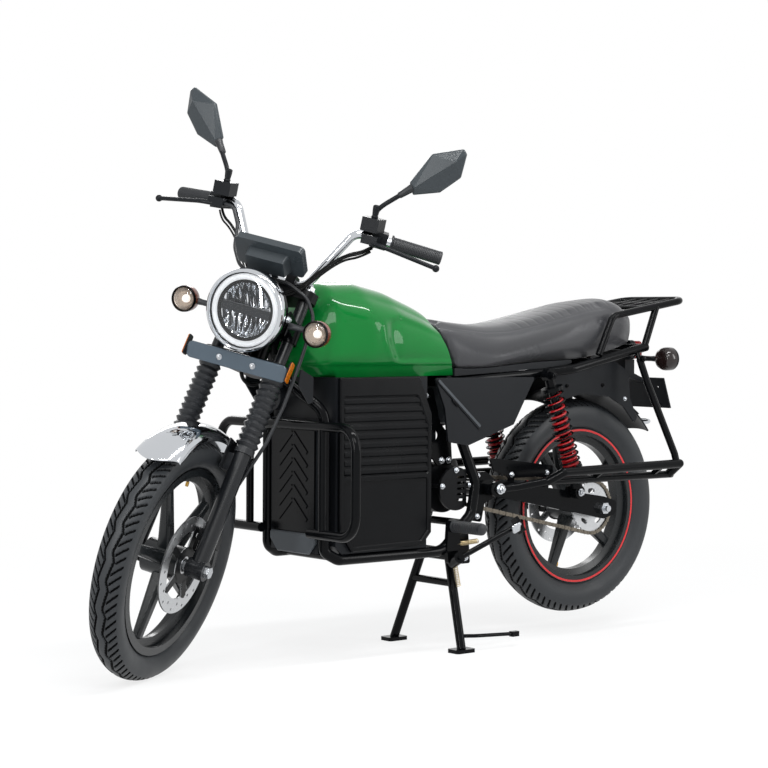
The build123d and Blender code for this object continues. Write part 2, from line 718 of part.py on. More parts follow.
# High handlebar
BAR_RISE = (372.0, 165.0, 1130.0)
BAR_END = (287.0, 362.0, 1109.0)
BAR_BENDS = (36.0, 44.0, 44.0, 36.0)
BAR_CLAMP_END = (BAR_CENTRE.X, CLAMP_Y + CLAMP_W / 2 + 24, BAR_CENTRE.Z)
left_bar = (BAR_END, BAR_RISE, BAR_CLAMP_END)
right_bar = tuple(flip(point, -1) for point in reversed(left_bar))
handlebar = tube(left_bar + right_bar, BAR_TUBE, BAR_BENDS)
write_steered(handlebar, "handlebar")


def along_bar(share, side):
    """Point of the handlebar's end run, 0 at its bend and 1 at its end."""
    start = Vector(*BAR_RISE)
    point = start + (Vector(*BAR_END) - start) * share
    return Vector(point.X, side * point.Y, point.Z)


GRIP_START = 0.42
GRIP_R = 17.0
with BuildPart() as grips:
    for side in SIDES:
        inner = along_bar(GRIP_START, side)
        outer = along_bar(1.0, side)
        run = outer - inner
        grip = Plane(origin=inner, z_dir=run)
        with Locations(grip):
            Cylinder(GRIP_R, run.length + 6, align=(Align.CENTER, Align.CENTER, Align.MIN))
        with Locations(grip):
            Cylinder(GRIP_R + 3, 5, align=(Align.CENTER, Align.CENTER, Align.MIN))
        with Locations(grip):
            Cylinder(
                BAR_TUBE / 2 + SEAT_GAP,
                run.length + SEAT_GAP,
                align=(Align.CENTER, Align.CENTER, Align.MIN),
                mode=Mode.SUBTRACT,
            )
write_steered(grips.part, "grips")

# Switch pods, lever perches with fluid cups, and the levers
POD_SHARE = 0.28
POD_W = 40.0
LEVER_BALL = (366.0, 388.0, 1091.0)
LEVER_ROOT_AHEAD = 34.0
CUP_W = 46.0
with BuildPart() as bar_controls:
    for side in SIDES:
        pod = along_bar(POD_SHARE, side)
        run = along_bar(1.0, side) - pod
        pod_plane = Plane(origin=pod, x_dir=(1, 0, 0), z_dir=run)
        with Locations(pod_plane):
            Box(44, 40, POD_W)
        perch = pod + Vector(LEVER_ROOT_AHEAD, -side * 6, -2)
        with Locations(Plane(origin=perch)):
            Box(34, 42, 22)
        with Locations(Plane(origin=pod + Vector(22, -side * 14, 34))):
            Box(CUP_W, CUP_W, 34)
        root = (perch.X + 10, perch.Y, perch.Z - 6)
        ball = flip(LEVER_BALL, side)
        bend = (perch.X + 18, perch.Y + side * 42, perch.Z - 8)
        add(tube((root, bend, ball), 11, 60))
        with Locations(Plane(origin=ball)):
            Sphere(9)
        with Locations(pod_plane):
            Cylinder(BAR_TUBE / 2 + SEAT_GAP, 4 * POD_W, mode=Mode.SUBTRACT)
write_steered(bar_controls.part, "bar_controls")

# Mirrors: bent stems and faceted five-cornered housings, toed in towards the rider
MIRROR_KNEE_Z = 1190.0
MIRROR_NECK = (330.0, 268.0, 1262.0)
MIRROR_TOE = 28.0
MIRROR_OUTLINE = ((-4, -8), (44, 98), (138, 124), (148, 104), (92, 12))
MIRROR_T = 24.0
toe = math.radians(MIRROR_TOE)
with BuildPart() as mirrors:
    for side in SIDES:
        cup = along_bar(POD_SHARE, side) + Vector(22, -side * 14, 34 + 17 + SEAT_GAP)
        foot = (cup.X, cup.Y, cup.Z)
        knee = (cup.X, cup.Y, MIRROR_KNEE_Z)
        inside = (MIRROR_NECK[0] - 8, side * (MIRROR_NECK[1] + 24), MIRROR_NECK[2] + 30)
        add(tube((foot, knee, flip(MIRROR_NECK, side), inside), 12, 30))
        face = Plane(
            origin=flip(MIRROR_NECK, side),
            x_dir=(-math.sin(toe), side * math.cos(toe), 0),
            z_dir=(math.cos(toe), side * math.sin(toe), 0),
        )
        with BuildSketch(face.offset(-MIRROR_T / 2)) as kite:
            with BuildLine():
                Polyline(*((u, v if side > 0 else -v) for u, v in MIRROR_OUTLINE), close=True)
            make_face()
            fillet(kite.vertices(), 8)
        extrude(amount=MIRROR_T, taper=24)
write_steered(mirrors.part, "mirrors")

# Main frame: head tube, backbone, cradle tubes, pivot plates and lugs
HEAD_LOW = YOKE_LOW + YOKE_T + RUNNING_GAP
HEAD_HIGH = YOKE_HIGH - RUNNING_GAP
BACKBONE_D = 42.0
BACKBONE_HEAD = on_stem(640)
BACKBONE_REAR = Vector(-110, 0, 720)
GUSSET_T = 16.0
DOWN_X = 318.0
DOWN_Y = 118.0
DOWN_TOP = (392.0, 12.0, 738.0)
LOWER_Y = 130.0
LOWER_Z = CASE_LOW_Z - FRAME_TUBE / 2 - SEAT_GAP
PLATE_IN = 95.0
PLATE_OUT = 105.0
CROSS_X = -110.0
CROSS_Z = 709.0
CROSS_D = 30.0
LUG_Y = 112.0
LUG_T = 8.0
STAND_BORE = 12.0
PEG_X = -88.0
PEG_Z = 334.0
PEG_BRACKET_Y = 146.0
CRADLE = (
    DOWN_TOP,
    (DOWN_X, DOWN_Y, 640),
    (DOWN_X, DOWN_Y, LOWER_Z + 20),
    (DOWN_X - 34, LOWER_Y, LOWER_Z),
    (-60, LOWER_Y, LOWER_Z),
    (-172, 118, 360),
    (-192, 114, 440),
    (-150, 98, 560),
    (CROSS_X, 88, CROSS_Z),
)
CRADLE_BENDS = (60, 24, 24, 70, 40, 60, 60)

side_fold = Vector(*SIDE_TIP) - Vector(*SIDE_PIVOT)
SIDE_DOWN = Vector(0.17, 0.36, -0.917)
SIDE_AXIS = side_fold.cross(SIDE_DOWN).normalized()
SIDE_EYE = 16.0
SIDE_EYE_R = 15.0
SIDE_PIN_D = 10.0

cradle_left = tube(CRADLE, FRAME_TUBE, CRADLE_BENDS)
pivot_plate = plate(
    (
        (PIVOT_X + 61, PIVOT_Z - 83),
        (PIVOT_X + 25, PIVOT_Z - 89),
        (PIVOT_X + 13, PIVOT_Z - 39),
        (PIVOT_X - 24, PIVOT_Z - 25),
        (PIVOT_X - 34, PIVOT_Z + 17),
        (PIVOT_X + 9, PIVOT_Z + 45),
        (PIVOT_X + 55, PIVOT_Z + 45),
    ),
    PLATE_OUT,
    PLATE_OUT - PLATE_IN,
    8,
)
stand_lug = plate(
    (
        (STAND_PIVOT_X - 18, STAND_PIVOT_Z - 16),
        (STAND_PIVOT_X + 18, STAND_PIVOT_Z - 16),
        (STAND_PIVOT_X + 26, STAND_PIVOT_Z + 82),
        (STAND_PIVOT_X - 8, STAND_PIVOT_Z + 106),
    ),
    LUG_Y + LUG_T,
    LUG_T,
    6,
)
peg_bracket = plate(
    ((PEG_X - 24, LOWER_Z), (PEG_X + 24, LOWER_Z), (PEG_X + 18, PEG_Z + 16), (PEG_X - 18, PEG_Z + 16)),
    PEG_BRACKET_Y,
    12,
    8,
)
side_bracket = plate(((-116, 236), (-80, 236), (-74, 286), (-110, 304)), 134, 12, 6)
with BuildPart() as main_frame:
    add(cradle_left)
    add(pivot_plate)
    add(stand_lug)
    add(peg_bracket)
    pin_in = (STAND_PIVOT_X, LUG_Y - 24, STAND_PIVOT_Z)
    add(rod(pin_in, (STAND_PIVOT_X, LUG_Y + 1, STAND_PIVOT_Z), STAND_BORE))
    mirror(about=Plane.XZ)
    with BuildSketch(across(on_stem(HEAD_LOW))):
        Circle(HEAD_TUBE_D / 2)
    extrude(amount=HEAD_HIGH - HEAD_LOW)
    add(rod(tuple(BACKBONE_HEAD), tuple(BACKBONE_REAR), BACKBONE_D))
    add(plate(((400, 848), (402, 770), (398, 724), (330, 724), (250, 800)), GUSSET_T / 2, GUSSET_T, 3))
    add(rod((CROSS_X, -98, CROSS_Z), (CROSS_X, 98, CROSS_Z), CROSS_D))
    for cross_x, cross_z in ((-60, LOWER_Z), (250, LOWER_Z)):
        add(rod((cross_x, -LOWER_Y, cross_z), (cross_x, LOWER_Y, cross_z), 22))
    add(rod((-150, -LUG_Y, 336), (-150, LUG_Y, 336), 20))
    add(rod((PIVOT_X, -ARM_Y - ARM_T, PIVOT_Z), (PIVOT_X, ARM_Y + ARM_T, PIVOT_Z), PIVOT_D))
    add(side_bracket)
    lug_in = Vector(*SIDE_PIVOT) + SIDE_AXIS * (SIDE_EYE / 2 + PIN_GAP)
    lug_end = lug_in + SIDE_AXIS * 26
    add(rod(tuple(lug_in), tuple(lug_end), 2 * SIDE_EYE_R))
    pin_end = Vector(*SIDE_PIVOT) - SIDE_AXIS * (SIDE_EYE / 2 + 5)
    add(rod(tuple(lug_end), tuple(pin_end), SIDE_PIN_D))
    with BuildSketch(across(on_stem(YOKE_LOW))):
        Circle(STEM_D / 2 + PIN_GAP)
    extrude(amount=YOKE_HIGH - YOKE_LOW, mode=Mode.SUBTRACT)
write(main_frame.part, "main_frame")

# Seat rails with the shocks' upper pins
SHOCK_TOP = (-440.0, 130.0, 722.0)
SHOCK_FOOT = (-533.0, 151.0, 402.0)
SHOCK_PIN_D = 14.0
RAIL_START_X = CROSS_X - CROSS_D / 2 - SEAT_GAP
RAIL_REAR = (-830.0, 120.0, 798.0)
SEAT_RAIL = (
    (CROSS_X - 8, 86, CROSS_Z),
    (-440, 98, 727),
    (-545, 117, 738),
    RAIL_REAR,
)
with BuildPart() as seat_rails:
    add(tube(SEAT_RAIL, RAIL_TUBE, 90))
    add(rod((SHOCK_TOP[0], 96, SHOCK_TOP[2]), (SHOCK_TOP[0], SHOCK_TOP[1] + 18, SHOCK_TOP[2]), SHOCK_PIN_D))
    add(tube(CRADLE, FRAME_TUBE + 2 * SEAT_GAP, CRADLE_BENDS), mode=Mode.SUBTRACT)
    add(rod((CROSS_X, 0, CROSS_Z), (CROSS_X, 120, CROSS_Z), CROSS_D + 2 * SEAT_GAP), mode=Mode.SUBTRACT)
    mirror(about=Plane.XZ)
    cross_tubes = ((-300, 93, 720), (-640, 119, 757), (RAIL_REAR[0] + 8, 120, RAIL_REAR[2] - 2))
    for cross_x, cross_y, cross_z in cross_tubes:
        add(rod((cross_x, -cross_y, cross_z), (cross_x, cross_y, cross_z), 20))
write(seat_rails.part, "seat_rails")

# Battery: plain case between the cradle tubes, ribbed side covers and a front cover with chevrons
CASE_STEP_X = DOWN_X - FRAME_TUBE / 2 - RUNNING_GAP
FRONT_HIGH_Z = 620.0
with BuildPart() as battery_case:
    with Locations((CASE_REAR_X, 0, CASE_LOW_Z)):
        Box(
            CASE_STEP_X - CASE_REAR_X,
            2 * CASE_HALF,
            CASE_HIGH_Z - CASE_LOW_Z,
            align=(Align.MIN, Align.CENTER, Align.MIN),
        )
    # The cradle tubes bend past the front lower edge
    chamfer(battery_case.edges().filter_by(Axis.Y).group_by(Axis.Z)[0].sort_by(Axis.X)[-1], 20)
    with Locations((CASE_REAR_X, 0, CASE_LOW_Z)):
        Box(
            CASE_FRONT_X - CASE_REAR_X,
            2 * CASE_FRONT_HALF,
            FRONT_HIGH_Z - CASE_LOW_Z,
            align=(Align.MIN, Align.CENTER, Align.MIN),
        )
write(battery_case.part, "battery_case")

COVER_BASE = 7.0
COVER_BEVEL = 3.0
BORDER = 14.0
LOUVRE_STAND = 4.0
FRONT_COVER_LOW = 336.0
FRONT_COVER_T = 5.0
CHEVRON_PITCH = 34.0


def front_plane(x, y, z):
    """Sketch plane that faces forward, with +X of the sketch to the left."""
    return Plane(origin=(x, y, z), x_dir=(0, 1, 0), z_dir=(1, 0, 0))


cover_front = CASE_STEP_X - 6
cover_rear = CASE_REAR_X - 8
cover_outline = (
    (cover_front, CASE_HIGH_Z),
    (CASE_REAR_X + 34, CASE_HIGH_Z),
    (cover_rear, CASE_HIGH_Z - 96),
    (cover_rear, CASE_LOW_Z + 40),
    (CASE_REAR_X + 22, CASE_LOW_Z + 8),
    (cover_front - 40, CASE_LOW_Z + 4),
    (cover_front, CASE_LOW_Z + 60),
)
louvre_field = (
    (cover_front - BORDER, RIB_HIGH_Z),
    (CASE_REAR_X + 40, RIB_HIGH_Z),
    (cover_rear + BORDER, RIB_HIGH_Z - 76),
    (cover_rear + BORDER, RIB_LOW_Z),
    (cover_front - BORDER, RIB_LOW_Z),
)
plain_field = (
    (cover_front - BORDER, RIB_LOW_Z - BORDER),
    (cover_rear + BORDER, RIB_LOW_Z - BORDER),
    (cover_rear + BORDER, CASE_LOW_Z + 46),
    (CASE_REAR_X + 28, CASE_LOW_Z + 8 + BORDER),
    (cover_front - 46, CASE_LOW_Z + 4 + BORDER),
    (cover_front - BORDER, CASE_LOW_Z + 66),
)
with BuildPart() as battery_covers:
    cover_in = CASE_HALF + SEAT_GAP
    cover_out = cover_in + COVER_T
    add(plate(cover_outline, cover_out, COVER_T, 4))
    for field in (louvre_field, plain_field):
        add(plate(field, cover_out + 1, COVER_T + 1 - COVER_BASE, 4), mode=Mode.SUBTRACT)
    chamfer(battery_covers.edges().group_by(Axis.Y)[-1], COVER_BEVEL)
    # Louvres: one toothed profile run along the field and trimmed to its outline
    rib_pitch = (RIB_HIGH_Z - RIB_LOW_Z) / RIB_COUNT
    floor_y = cover_in + COVER_BASE - 1
    teeth = [(floor_y, RIB_HIGH_Z), (floor_y, RIB_LOW_Z)]
    for rib in range(RIB_COUNT):
        low = RIB_LOW_Z + rib * rib_pitch
        teeth.append((floor_y + 1 + SEAT_GAP, low + 0.10 * rib_pitch))
        teeth.append((floor_y + 1 + LOUVRE_STAND, low + 0.28 * rib_pitch))
        teeth.append((floor_y + 1 + LOUVRE_STAND, low + 0.62 * rib_pitch))
        teeth.append((floor_y + 1 + SEAT_GAP, low + 0.90 * rib_pitch))
    with BuildPart() as louvres:
        with BuildSketch(front_plane(cover_rear, 0, 0)):
            with BuildLine():
                Polyline(*teeth, close=True)
            make_face()
        extrude(amount=cover_front - cover_rear)
        add(plate(louvre_field, cover_out, COVER_T, 4), mode=Mode.INTERSECT)
    add(louvres.part)
    mirror(about=Plane.XZ)
    front_mid = (FRONT_COVER_LOW + FRONT_HIGH_Z - 6) / 2
    with BuildSketch(front_plane(CASE_FRONT_X + SEAT_GAP, 0, front_mid)):
        RectangleRounded(2 * CASE_FRONT_HALF - 20, FRONT_HIGH_Z - 6 - FRONT_COVER_LOW, 8)
    extrude(amount=FRONT_COVER_T)
    for chevron in range(6):
        for side in SIDES:
            chevron_z = front_mid - 85 + chevron * CHEVRON_PITCH
            with BuildSketch(front_plane(CASE_FRONT_X + SEAT_GAP + FRONT_COVER_T, side * 30, chevron_z)):
                Rectangle(76, 9, rotation=-side * 42)
            extrude(amount=2.5)
write(battery_covers.part, "battery_covers")

# Skid panel under the front cover, rounded at its lower corners
SKID_T = 8.0
with BuildPart() as skid_panel:
    skid_high = FRONT_COVER_LOW - 4
    skid_half = CASE_FRONT_HALF - 4
    with BuildSketch(front_plane(CASE_FRONT_X + SEAT_GAP, 0, 0)):
        with BuildLine():
            Polyline(
                (-skid_half, skid_high),
                (-skid_half, CASE_LOW_Z + 26),
                (-skid_half + 30, CASE_LOW_Z - 4),
                (skid_half - 30, CASE_LOW_Z - 4),
                (skid_half, CASE_LOW_Z + 26),
                (skid_half, skid_high),
                close=True,
            )
        make_face()
        fillet(vertices(), 6)
    extrude(amount=SKID_T)
    chamfer(skid_panel.edges().group_by(Axis.X)[-1], 3)
write(skid_panel.part, "skid_panel")


# Controller box behind the frame's cross tube, under the seat
CONTROLLER_L = 150.0
CONTROLLER_H = 116.0
with BuildPart() as controller_box:
    with Locations((RAIL_START_X, 0, CROSS_Z + 4)):
        Box(CONTROLLER_L, 120, CONTROLLER_H, align=(Align.MAX, Align.CENTER, Align.MAX))
    fillet(controller_box.edges().filter_by(Axis.Y), 8)
write(controller_box.part, "controller_box")

# Tank: sections along it, each a flat floor, bulging flanks and a crowned top that meet in a shoulder crease
# Columns: station, half floor, half belly, belly height, half shoulder, shoulder height, crown height
TANK_SECTIONS = (
    (384, 30, 56, 772, 40, 792, 800),
    (333, 70, 98, 796, 70, 866, 884),
    (282, 96, 130, 806, 90, 918, 944),
    (180, 110, 150, 812, 96, 920, 950),
    (78, 110, 148, 808, 92, 893, 923),
    (-24, 104, 130, 798, 84, 862, 893),
    (-126, 96, 110, 780, 74, 828, 858),
)
TANK_NOSE = ((362.0, 728.0), (392.0, 826.0))
TANK_REAR_TOP = (-44.0, 890.0)
TANK_REAR_FOOT = (-116.0, 727.0)
with BuildPart() as tank:
    for x, floor, belly, belly_z, shoulder, shoulder_z, crown_z in TANK_SECTIONS:
        with BuildSketch(Plane(origin=(x, 0, 0), x_dir=(0, 1, 0), z_dir=(1, 0, 0))):
            with BuildLine():
                Line((-floor, TANK_LOW_Z), (floor, TANK_LOW_Z))
                ThreePointArc((floor, TANK_LOW_Z), (belly, belly_z), (shoulder, shoulder_z))
                ThreePointArc((shoulder, shoulder_z), (0, crown_z), (-shoulder, shoulder_z))
                ThreePointArc((-shoulder, shoulder_z), (-belly, belly_z), (-floor, TANK_LOW_Z))
            make_face()
    loft()
    # Slanted rear, where the seat's nose meets it
    with BuildSketch(side_plane(200)):
        with BuildLine():
            Polyline(TANK_REAR_TOP, (-200, 1000), (-300, 700), TANK_REAR_FOOT, close=True)
        make_face()
    extrude(amount=400, mode=Mode.SUBTRACT)
    # Undercut nose, clear of the frame's down tubes
    with BuildSketch(side_plane(200)):
        with BuildLine():
            Polyline(*TANK_NOSE, (500, 826), (500, 700), (362, 700), close=True)
        make_face()
    extrude(amount=400, mode=Mode.SUBTRACT)
    # Tunnel over the backbone and the gusset
    roof = BACKBONE_D / 2 + RUNNING_GAP
    slope = (BACKBONE_HEAD.Z - BACKBONE_REAR.Z) / (BACKBONE_HEAD.X - BACKBONE_REAR.X)
    front_roof = BACKBONE_HEAD.Z + roof + slope * 20
    rear_roof = BACKBONE_REAR.Z + roof - slope * 20
    with BuildSketch(side_plane(TUNNEL_HALF)):
        with BuildLine():
            Polyline(
                (BACKBONE_HEAD.X + 20, 700),
                (BACKBONE_HEAD.X + 20, front_roof),
                (BACKBONE_REAR.X - 20, rear_roof),
                (BACKBONE_REAR.X - 20, 700),
                close=True,
            )
        make_face()
    extrude(amount=2 * TUNNEL_HALF, mode=Mode.SUBTRACT)
write(tank.part, "tank")

# Seat: one piece from the tank to the rack, dipped for the rider and raised for the passenger
# Columns: station, half floor, half width, floor height, side height, crown height
SEAT_SECTIONS = (
    (-20, 84, 84, SEAT_LOW_Z, 850, 888),
    (-130, 96, 108, SEAT_LOW_Z, 838, 870),
    (-240, 104, 122, SEAT_LOW_Z, 832, 866),
    (-430, 82, 122, 758, 862, 896),
    (-620, 84, 114, 766, 892, 926),
    (-760, 84, 98, 794, 896, 926),
    (-822, 66, 74, 810, 872, 894),
)
with BuildPart() as seat:
    for x, floor, half, floor_z, side_z, crown_z in SEAT_SECTIONS:
        with BuildSketch(Plane(origin=(x, 0, 0), x_dir=(0, 1, 0), z_dir=(1, 0, 0))):
            with BuildLine():
                Polyline((-half, side_z), (-floor, floor_z), (floor, floor_z), (half, side_z))
                ThreePointArc((half, side_z), (0, crown_z), (-half, side_z))
            make_face()
    loft()
    with BuildSketch(side_plane(200)):
        with BuildLine():
            Polyline(
                (TANK_REAR_TOP[0] - SEAT_GAP * 2, TANK_REAR_TOP[1]),
                (TANK_REAR_TOP[0] + 20, 1000),
                (100, 1000),
                (100, 700),
                (TANK_REAR_FOOT[0] - SEAT_GAP * 2, TANK_REAR_FOOT[1]),
                close=True,
            )
        make_face()
    extrude(amount=400, mode=Mode.SUBTRACT)
write(seat.part, "seat")

# Seat base: the tray between the seat's floor and the rails
BASE_HALF = 100.0
BASE_FRONT_X = -127.0
BASE_REAR_X = -556.0
with BuildPart() as seat_base:
    tray_foot = RAIL_TUBE / 2 + 2 * SEAT_GAP
    add(
        plate(
            (
                (BASE_FRONT_X, SEAT_LOW_Z - SEAT_GAP),
                (-240, SEAT_LOW_Z - SEAT_GAP),
                (-430, 758 - SEAT_GAP),
                (BASE_REAR_X, 763 - SEAT_GAP),
                (BASE_REAR_X, 741 + tray_foot),
                (-545, 738 + tray_foot),
                (-440, 727 + tray_foot),
                (BASE_FRONT_X, CROSS_Z + 1 + tray_foot),
            ),
            BASE_HALF,
            2 * BASE_HALF,
            1.5,
        )
    )
    # The seat's floor sags a little between its sections
    add(seat.part.moved(Location((0, 0, -SEAT_GAP))), mode=Mode.SUBTRACT)
write(seat_base.part, "seat_base")

# Side panels on bosses from the seat rails, each with its diagonal strip
PANEL_Y = 124.0
PANEL_T = 7.0
PANEL = ((-40, 720), (-398, 718), (-384, 700), (-318, 592), (-156, 541), (-86, 552), (-74, 640))
with BuildPart() as side_panels:
    add(plate(PANEL, PANEL_Y, PANEL_T, 6))
    with BuildSketch(side_plane(PANEL_Y)):
        with Locations((-124, 648)):
            SlotOverall(196, 11, rotation=41)
    extrude(amount=-3)
    for boss_x, boss_y in ((-180, 88), (-330, 94)):
        add(rod((boss_x, boss_y + RAIL_TUBE / 2 - 4, 708), (boss_x, PANEL_Y - PANEL_T + 1, 708), 10))
    add(tube(SEAT_RAIL, RAIL_TUBE + 2 * SEAT_GAP, 90), mode=Mode.SUBTRACT)
    mirror(about=Plane.XZ)
write(side_panels.part, "side_panels")

# Front crash guard: one bent tube round both sides, uprights and tabs on the cradle tubes
GUARD_X = DOWN_X + FRAME_TUBE / 2 + GUARD_TUBE / 2 + RUNNING_GAP
GUARD_HALF = 284.0
GUARD_HIGH_Z = 606.0
GUARD_LOW_Z = 338.0
GUARD_UPRIGHT_Y = 152.0
GUARD_BEND = 56.0
guard_left = (
    (GUARD_X, 100, GUARD_LOW_Z),
    (GUARD_X, GUARD_HALF, GUARD_LOW_Z),
    (GUARD_X, GUARD_HALF, GUARD_HIGH_Z),
)
guard_right = tuple(flip(point, -1) for point in reversed(guard_left))
with BuildPart() as crash_guard:
    add(tube(guard_left + guard_right, GUARD_TUBE, GUARD_BEND))
    for side in SIDES:
        upright_y = side * GUARD_UPRIGHT_Y
        add(rod((GUARD_X, upright_y, GUARD_LOW_Z), (GUARD_X, upright_y, GUARD_HIGH_Z), GUARD_TUBE - 5))
        for tab_z in (GUARD_LOW_Z, GUARD_HIGH_Z):
            tab = DOWN_X + FRAME_TUBE / 2 + SEAT_GAP
            add(rod((tab, side * DOWN_Y, tab_z), (GUARD_X, side * DOWN_Y, tab_z), 16))
write(crash_guard.part, "crash_guard")

# Motor with its drive wheel and slotted cover
MOTOR_R = 66.0
MOTOR_HALF = 54.0
COVER_R = 57.0
COVER_FLAT = 36.0
COVER_IN = CHAIN_Y + CHAIN_W / 2 + RUNNING_GAP
with BuildPart() as motor:
    with BuildSketch(wheel_plane(DRIVE, -MOTOR_HALF)):
        Circle(MOTOR_R)
    extrude(amount=2 * MOTOR_HALF)
    with BuildSketch(wheel_plane(DRIVE, MOTOR_HALF)):
        Circle(14)
    extrude(amount=CHAIN_Y + SPROCKET_T / 2 - MOTOR_HALF)
    drive_t = CHAIN_W - 2 * PLATE_T - 2 * SEAT_GAP
    with BuildSketch(wheel_plane(DRIVE, CHAIN_Y - drive_t / 2)):
        Circle(FRONT_PITCH_R - ROOT_DEPTH)
    extrude(amount=drive_t)
    # Lugs forward to the battery's back
    with Locations((CASE_REAR_X - SEAT_GAP, 0, DRIVE_Z)):
        Box(-DRIVE_X - 30, 70, 60, align=(Align.MAX, Align.CENTER, Align.CENTER))
write(motor.part, "motor")

with BuildPart() as motor_cover:
    with BuildSketch(wheel_plane(DRIVE, COVER_IN)):
        Circle(COVER_R)
        with Locations((COVER_FLAT, 0)):
            Rectangle(2 * COVER_R, 3 * COVER_R, align=(Align.MIN, Align.CENTER), mode=Mode.SUBTRACT)
        with Locations((COVER_FLAT - 20, 0)):
            with GridLocations(1, 15, 1, 5):
                SlotOverall(26, 7, mode=Mode.SUBTRACT)
    extrude(amount=8)
    for post_angle in (100, 180, 260):
        angle = math.radians(post_angle - 90)
        post_x = DRIVE.X + math.cos(angle) * (COVER_R - 8)
        post_z = DRIVE.Z + math.sin(angle) * (COVER_R - 8)
        add(rod((post_x, MOTOR_HALF + SEAT_GAP, post_z), (post_x, COVER_IN + 1, post_z), 10))
write(motor_cover.part, "motor_cover")

# Hanger plates from the battery's back to the motor's end faces
HANGER_T = 6.0
with BuildPart() as motor_hanger:
    hanger = plate(
        (
            (CASE_REAR_X - SEAT_GAP, 690),
            (-86, 690),
            (-112, 600),
            (-150, 560),
            (DRIVE_X - 26, DRIVE_Z + 60),
            (DRIVE_X + 26, DRIVE_Z + 60),
            (-70, 524),
            (CASE_REAR_X - SEAT_GAP, 560),
        ),
        MOTOR_HALF + SEAT_GAP + HANGER_T,
        HANGER_T,
        8,
    )
    add(hanger)
    for hole_x, hole_z, hole_d in ((-44, 620, 46), (-92, 566, 30)):
        with BuildSketch(side_plane(MOTOR_HALF + SEAT_GAP + HANGER_T)):
            with Locations((hole_x, hole_z)):
                Circle(hole_d / 2)
        extrude(amount=HANGER_T, mode=Mode.SUBTRACT)
    mirror(about=Plane.XZ)
write(motor_hanger.part, "motor_hanger")

# Swingarm: two box arms outside the chain, joined by a cross tube ahead of the tyre
ARM_TAIL = 54.0
arm = plate(
    (
        (PIVOT_X + 24, PIVOT_Z + 12),
        (PIVOT_X - 25, PIVOT_Z + 22),
        (REAR_AXLE_X - 6, REAR_AXLE_Z + 32),
        (REAR_AXLE_X - ARM_TAIL, REAR_AXLE_Z + 18),
        (REAR_AXLE_X - ARM_TAIL, REAR_AXLE_Z - 18),
        (REAR_AXLE_X - 6, REAR_AXLE_Z - 30),
        (PIVOT_X - 25, PIVOT_Z - 24),
        (PIVOT_X + 24, PIVOT_Z - 14),
    ),
    ARM_Y + ARM_T / 2,
    ARM_T,
    8,
)
with BuildPart() as swingarm:
    add(arm)
    pin_out = (SHOCK_FOOT[0], SHOCK_FOOT[1] + 13, SHOCK_FOOT[2])
    add(rod((SHOCK_FOOT[0], ARM_Y, SHOCK_FOOT[2]), pin_out, SHOCK_PIN_D))
    add(
        plate(
            (
                (SHOCK_FOOT[0] - 30, SHOCK_FOOT[2] - 30),
                (SHOCK_FOOT[0] + 30, SHOCK_FOOT[2] - 24),
                (SHOCK_FOOT[0] + 14, SHOCK_FOOT[2] + 16),
                (SHOCK_FOOT[0] - 14, SHOCK_FOOT[2] + 16),
            ),
            ARM_Y + ARM_T / 2,
            10,
            6,
        )
    )
    mirror(about=Plane.XZ)
    add(rod((-305, -ARM_Y, 412), (-305, ARM_Y, 412), 38))
    for centre, diameter in ((Vector(PIVOT_X, 0, PIVOT_Z), PIVOT_D), (REAR_AXLE, REAR_AXLE_D)):
        with BuildSketch(wheel_plane(centre, -200)):
            Circle(diameter / 2 + PIN_GAP)
        extrude(amount=400, mode=Mode.SUBTRACT)
write(swingarm.part, "swingarm")

with BuildPart() as rear_axle:
    axle_half = ARM_Y + ARM_T / 2 + 26
    with BuildSketch(wheel_plane(REAR_AXLE, -axle_half)):
        Circle(REAR_AXLE_D / 2)
    extrude(amount=2 * axle_half)
    nut_in = ARM_Y + ARM_T / 2 + PIN_GAP
    for start in (nut_in, -nut_in - 14):
        with BuildSketch(wheel_plane(REAR_AXLE, start)):
            RegularPolygon(17, 6)
        extrude(amount=14)
    arm_in = ARM_Y - ARM_T / 2 - PIN_GAP
    sprocket_out = CHAIN_Y + SPROCKET_T / 2 + 1
    disc_out = DISC_Y + DISC_T / 2 + 1
    for start, end in ((sprocket_out, arm_in), (-arm_in, -disc_out)):
        with BuildSketch(wheel_plane(REAR_AXLE, start)):
            Circle(REAR_AXLE_D / 2 + 5)
        extrude(amount=end - start)
write(rear_axle.part, "rear_axle")

# Chain guard on the left arm
GUARD_FEET = ((-452.0, -436.0), (-324.0, -304.0))


def arm_top(x):
    """Height at which a piece stands on the arm's upper edge."""
    front_x, front_z = PIVOT_X - 25, PIVOT_Z + 22
    fall = (REAR_AXLE_Z + 32 - front_z) / (REAR_AXLE_X - 6 - front_x)
    return front_z + fall * (x - front_x) + SEAT_GAP


GUARD_EDGE = 448.0
guard_outline = [(-236, 502), (-268, 502), (-467, 476), (-467, GUARD_EDGE)]
for foot_rear, foot_front in GUARD_FEET:
    guard_outline.append((foot_rear, GUARD_EDGE))
    guard_outline.append((foot_rear, arm_top(foot_rear)))
    guard_outline.append((foot_front, arm_top(foot_front)))
    guard_outline.append((foot_front, GUARD_EDGE))
guard_outline += [(-296, GUARD_EDGE + 8), (-250, 470)]
with BuildPart() as chain_guard:
    add(plate(guard_outline, ARM_Y + 3, 5, 2))
    # Pressed rib along the guard
    with BuildSketch(side_plane(ARM_Y + 3)):
        with Locations((-372, 467)):
            SlotOverall(150, 8, rotation=7)
    extrude(amount=-2)
write(chain_guard.part, "chain_guard")

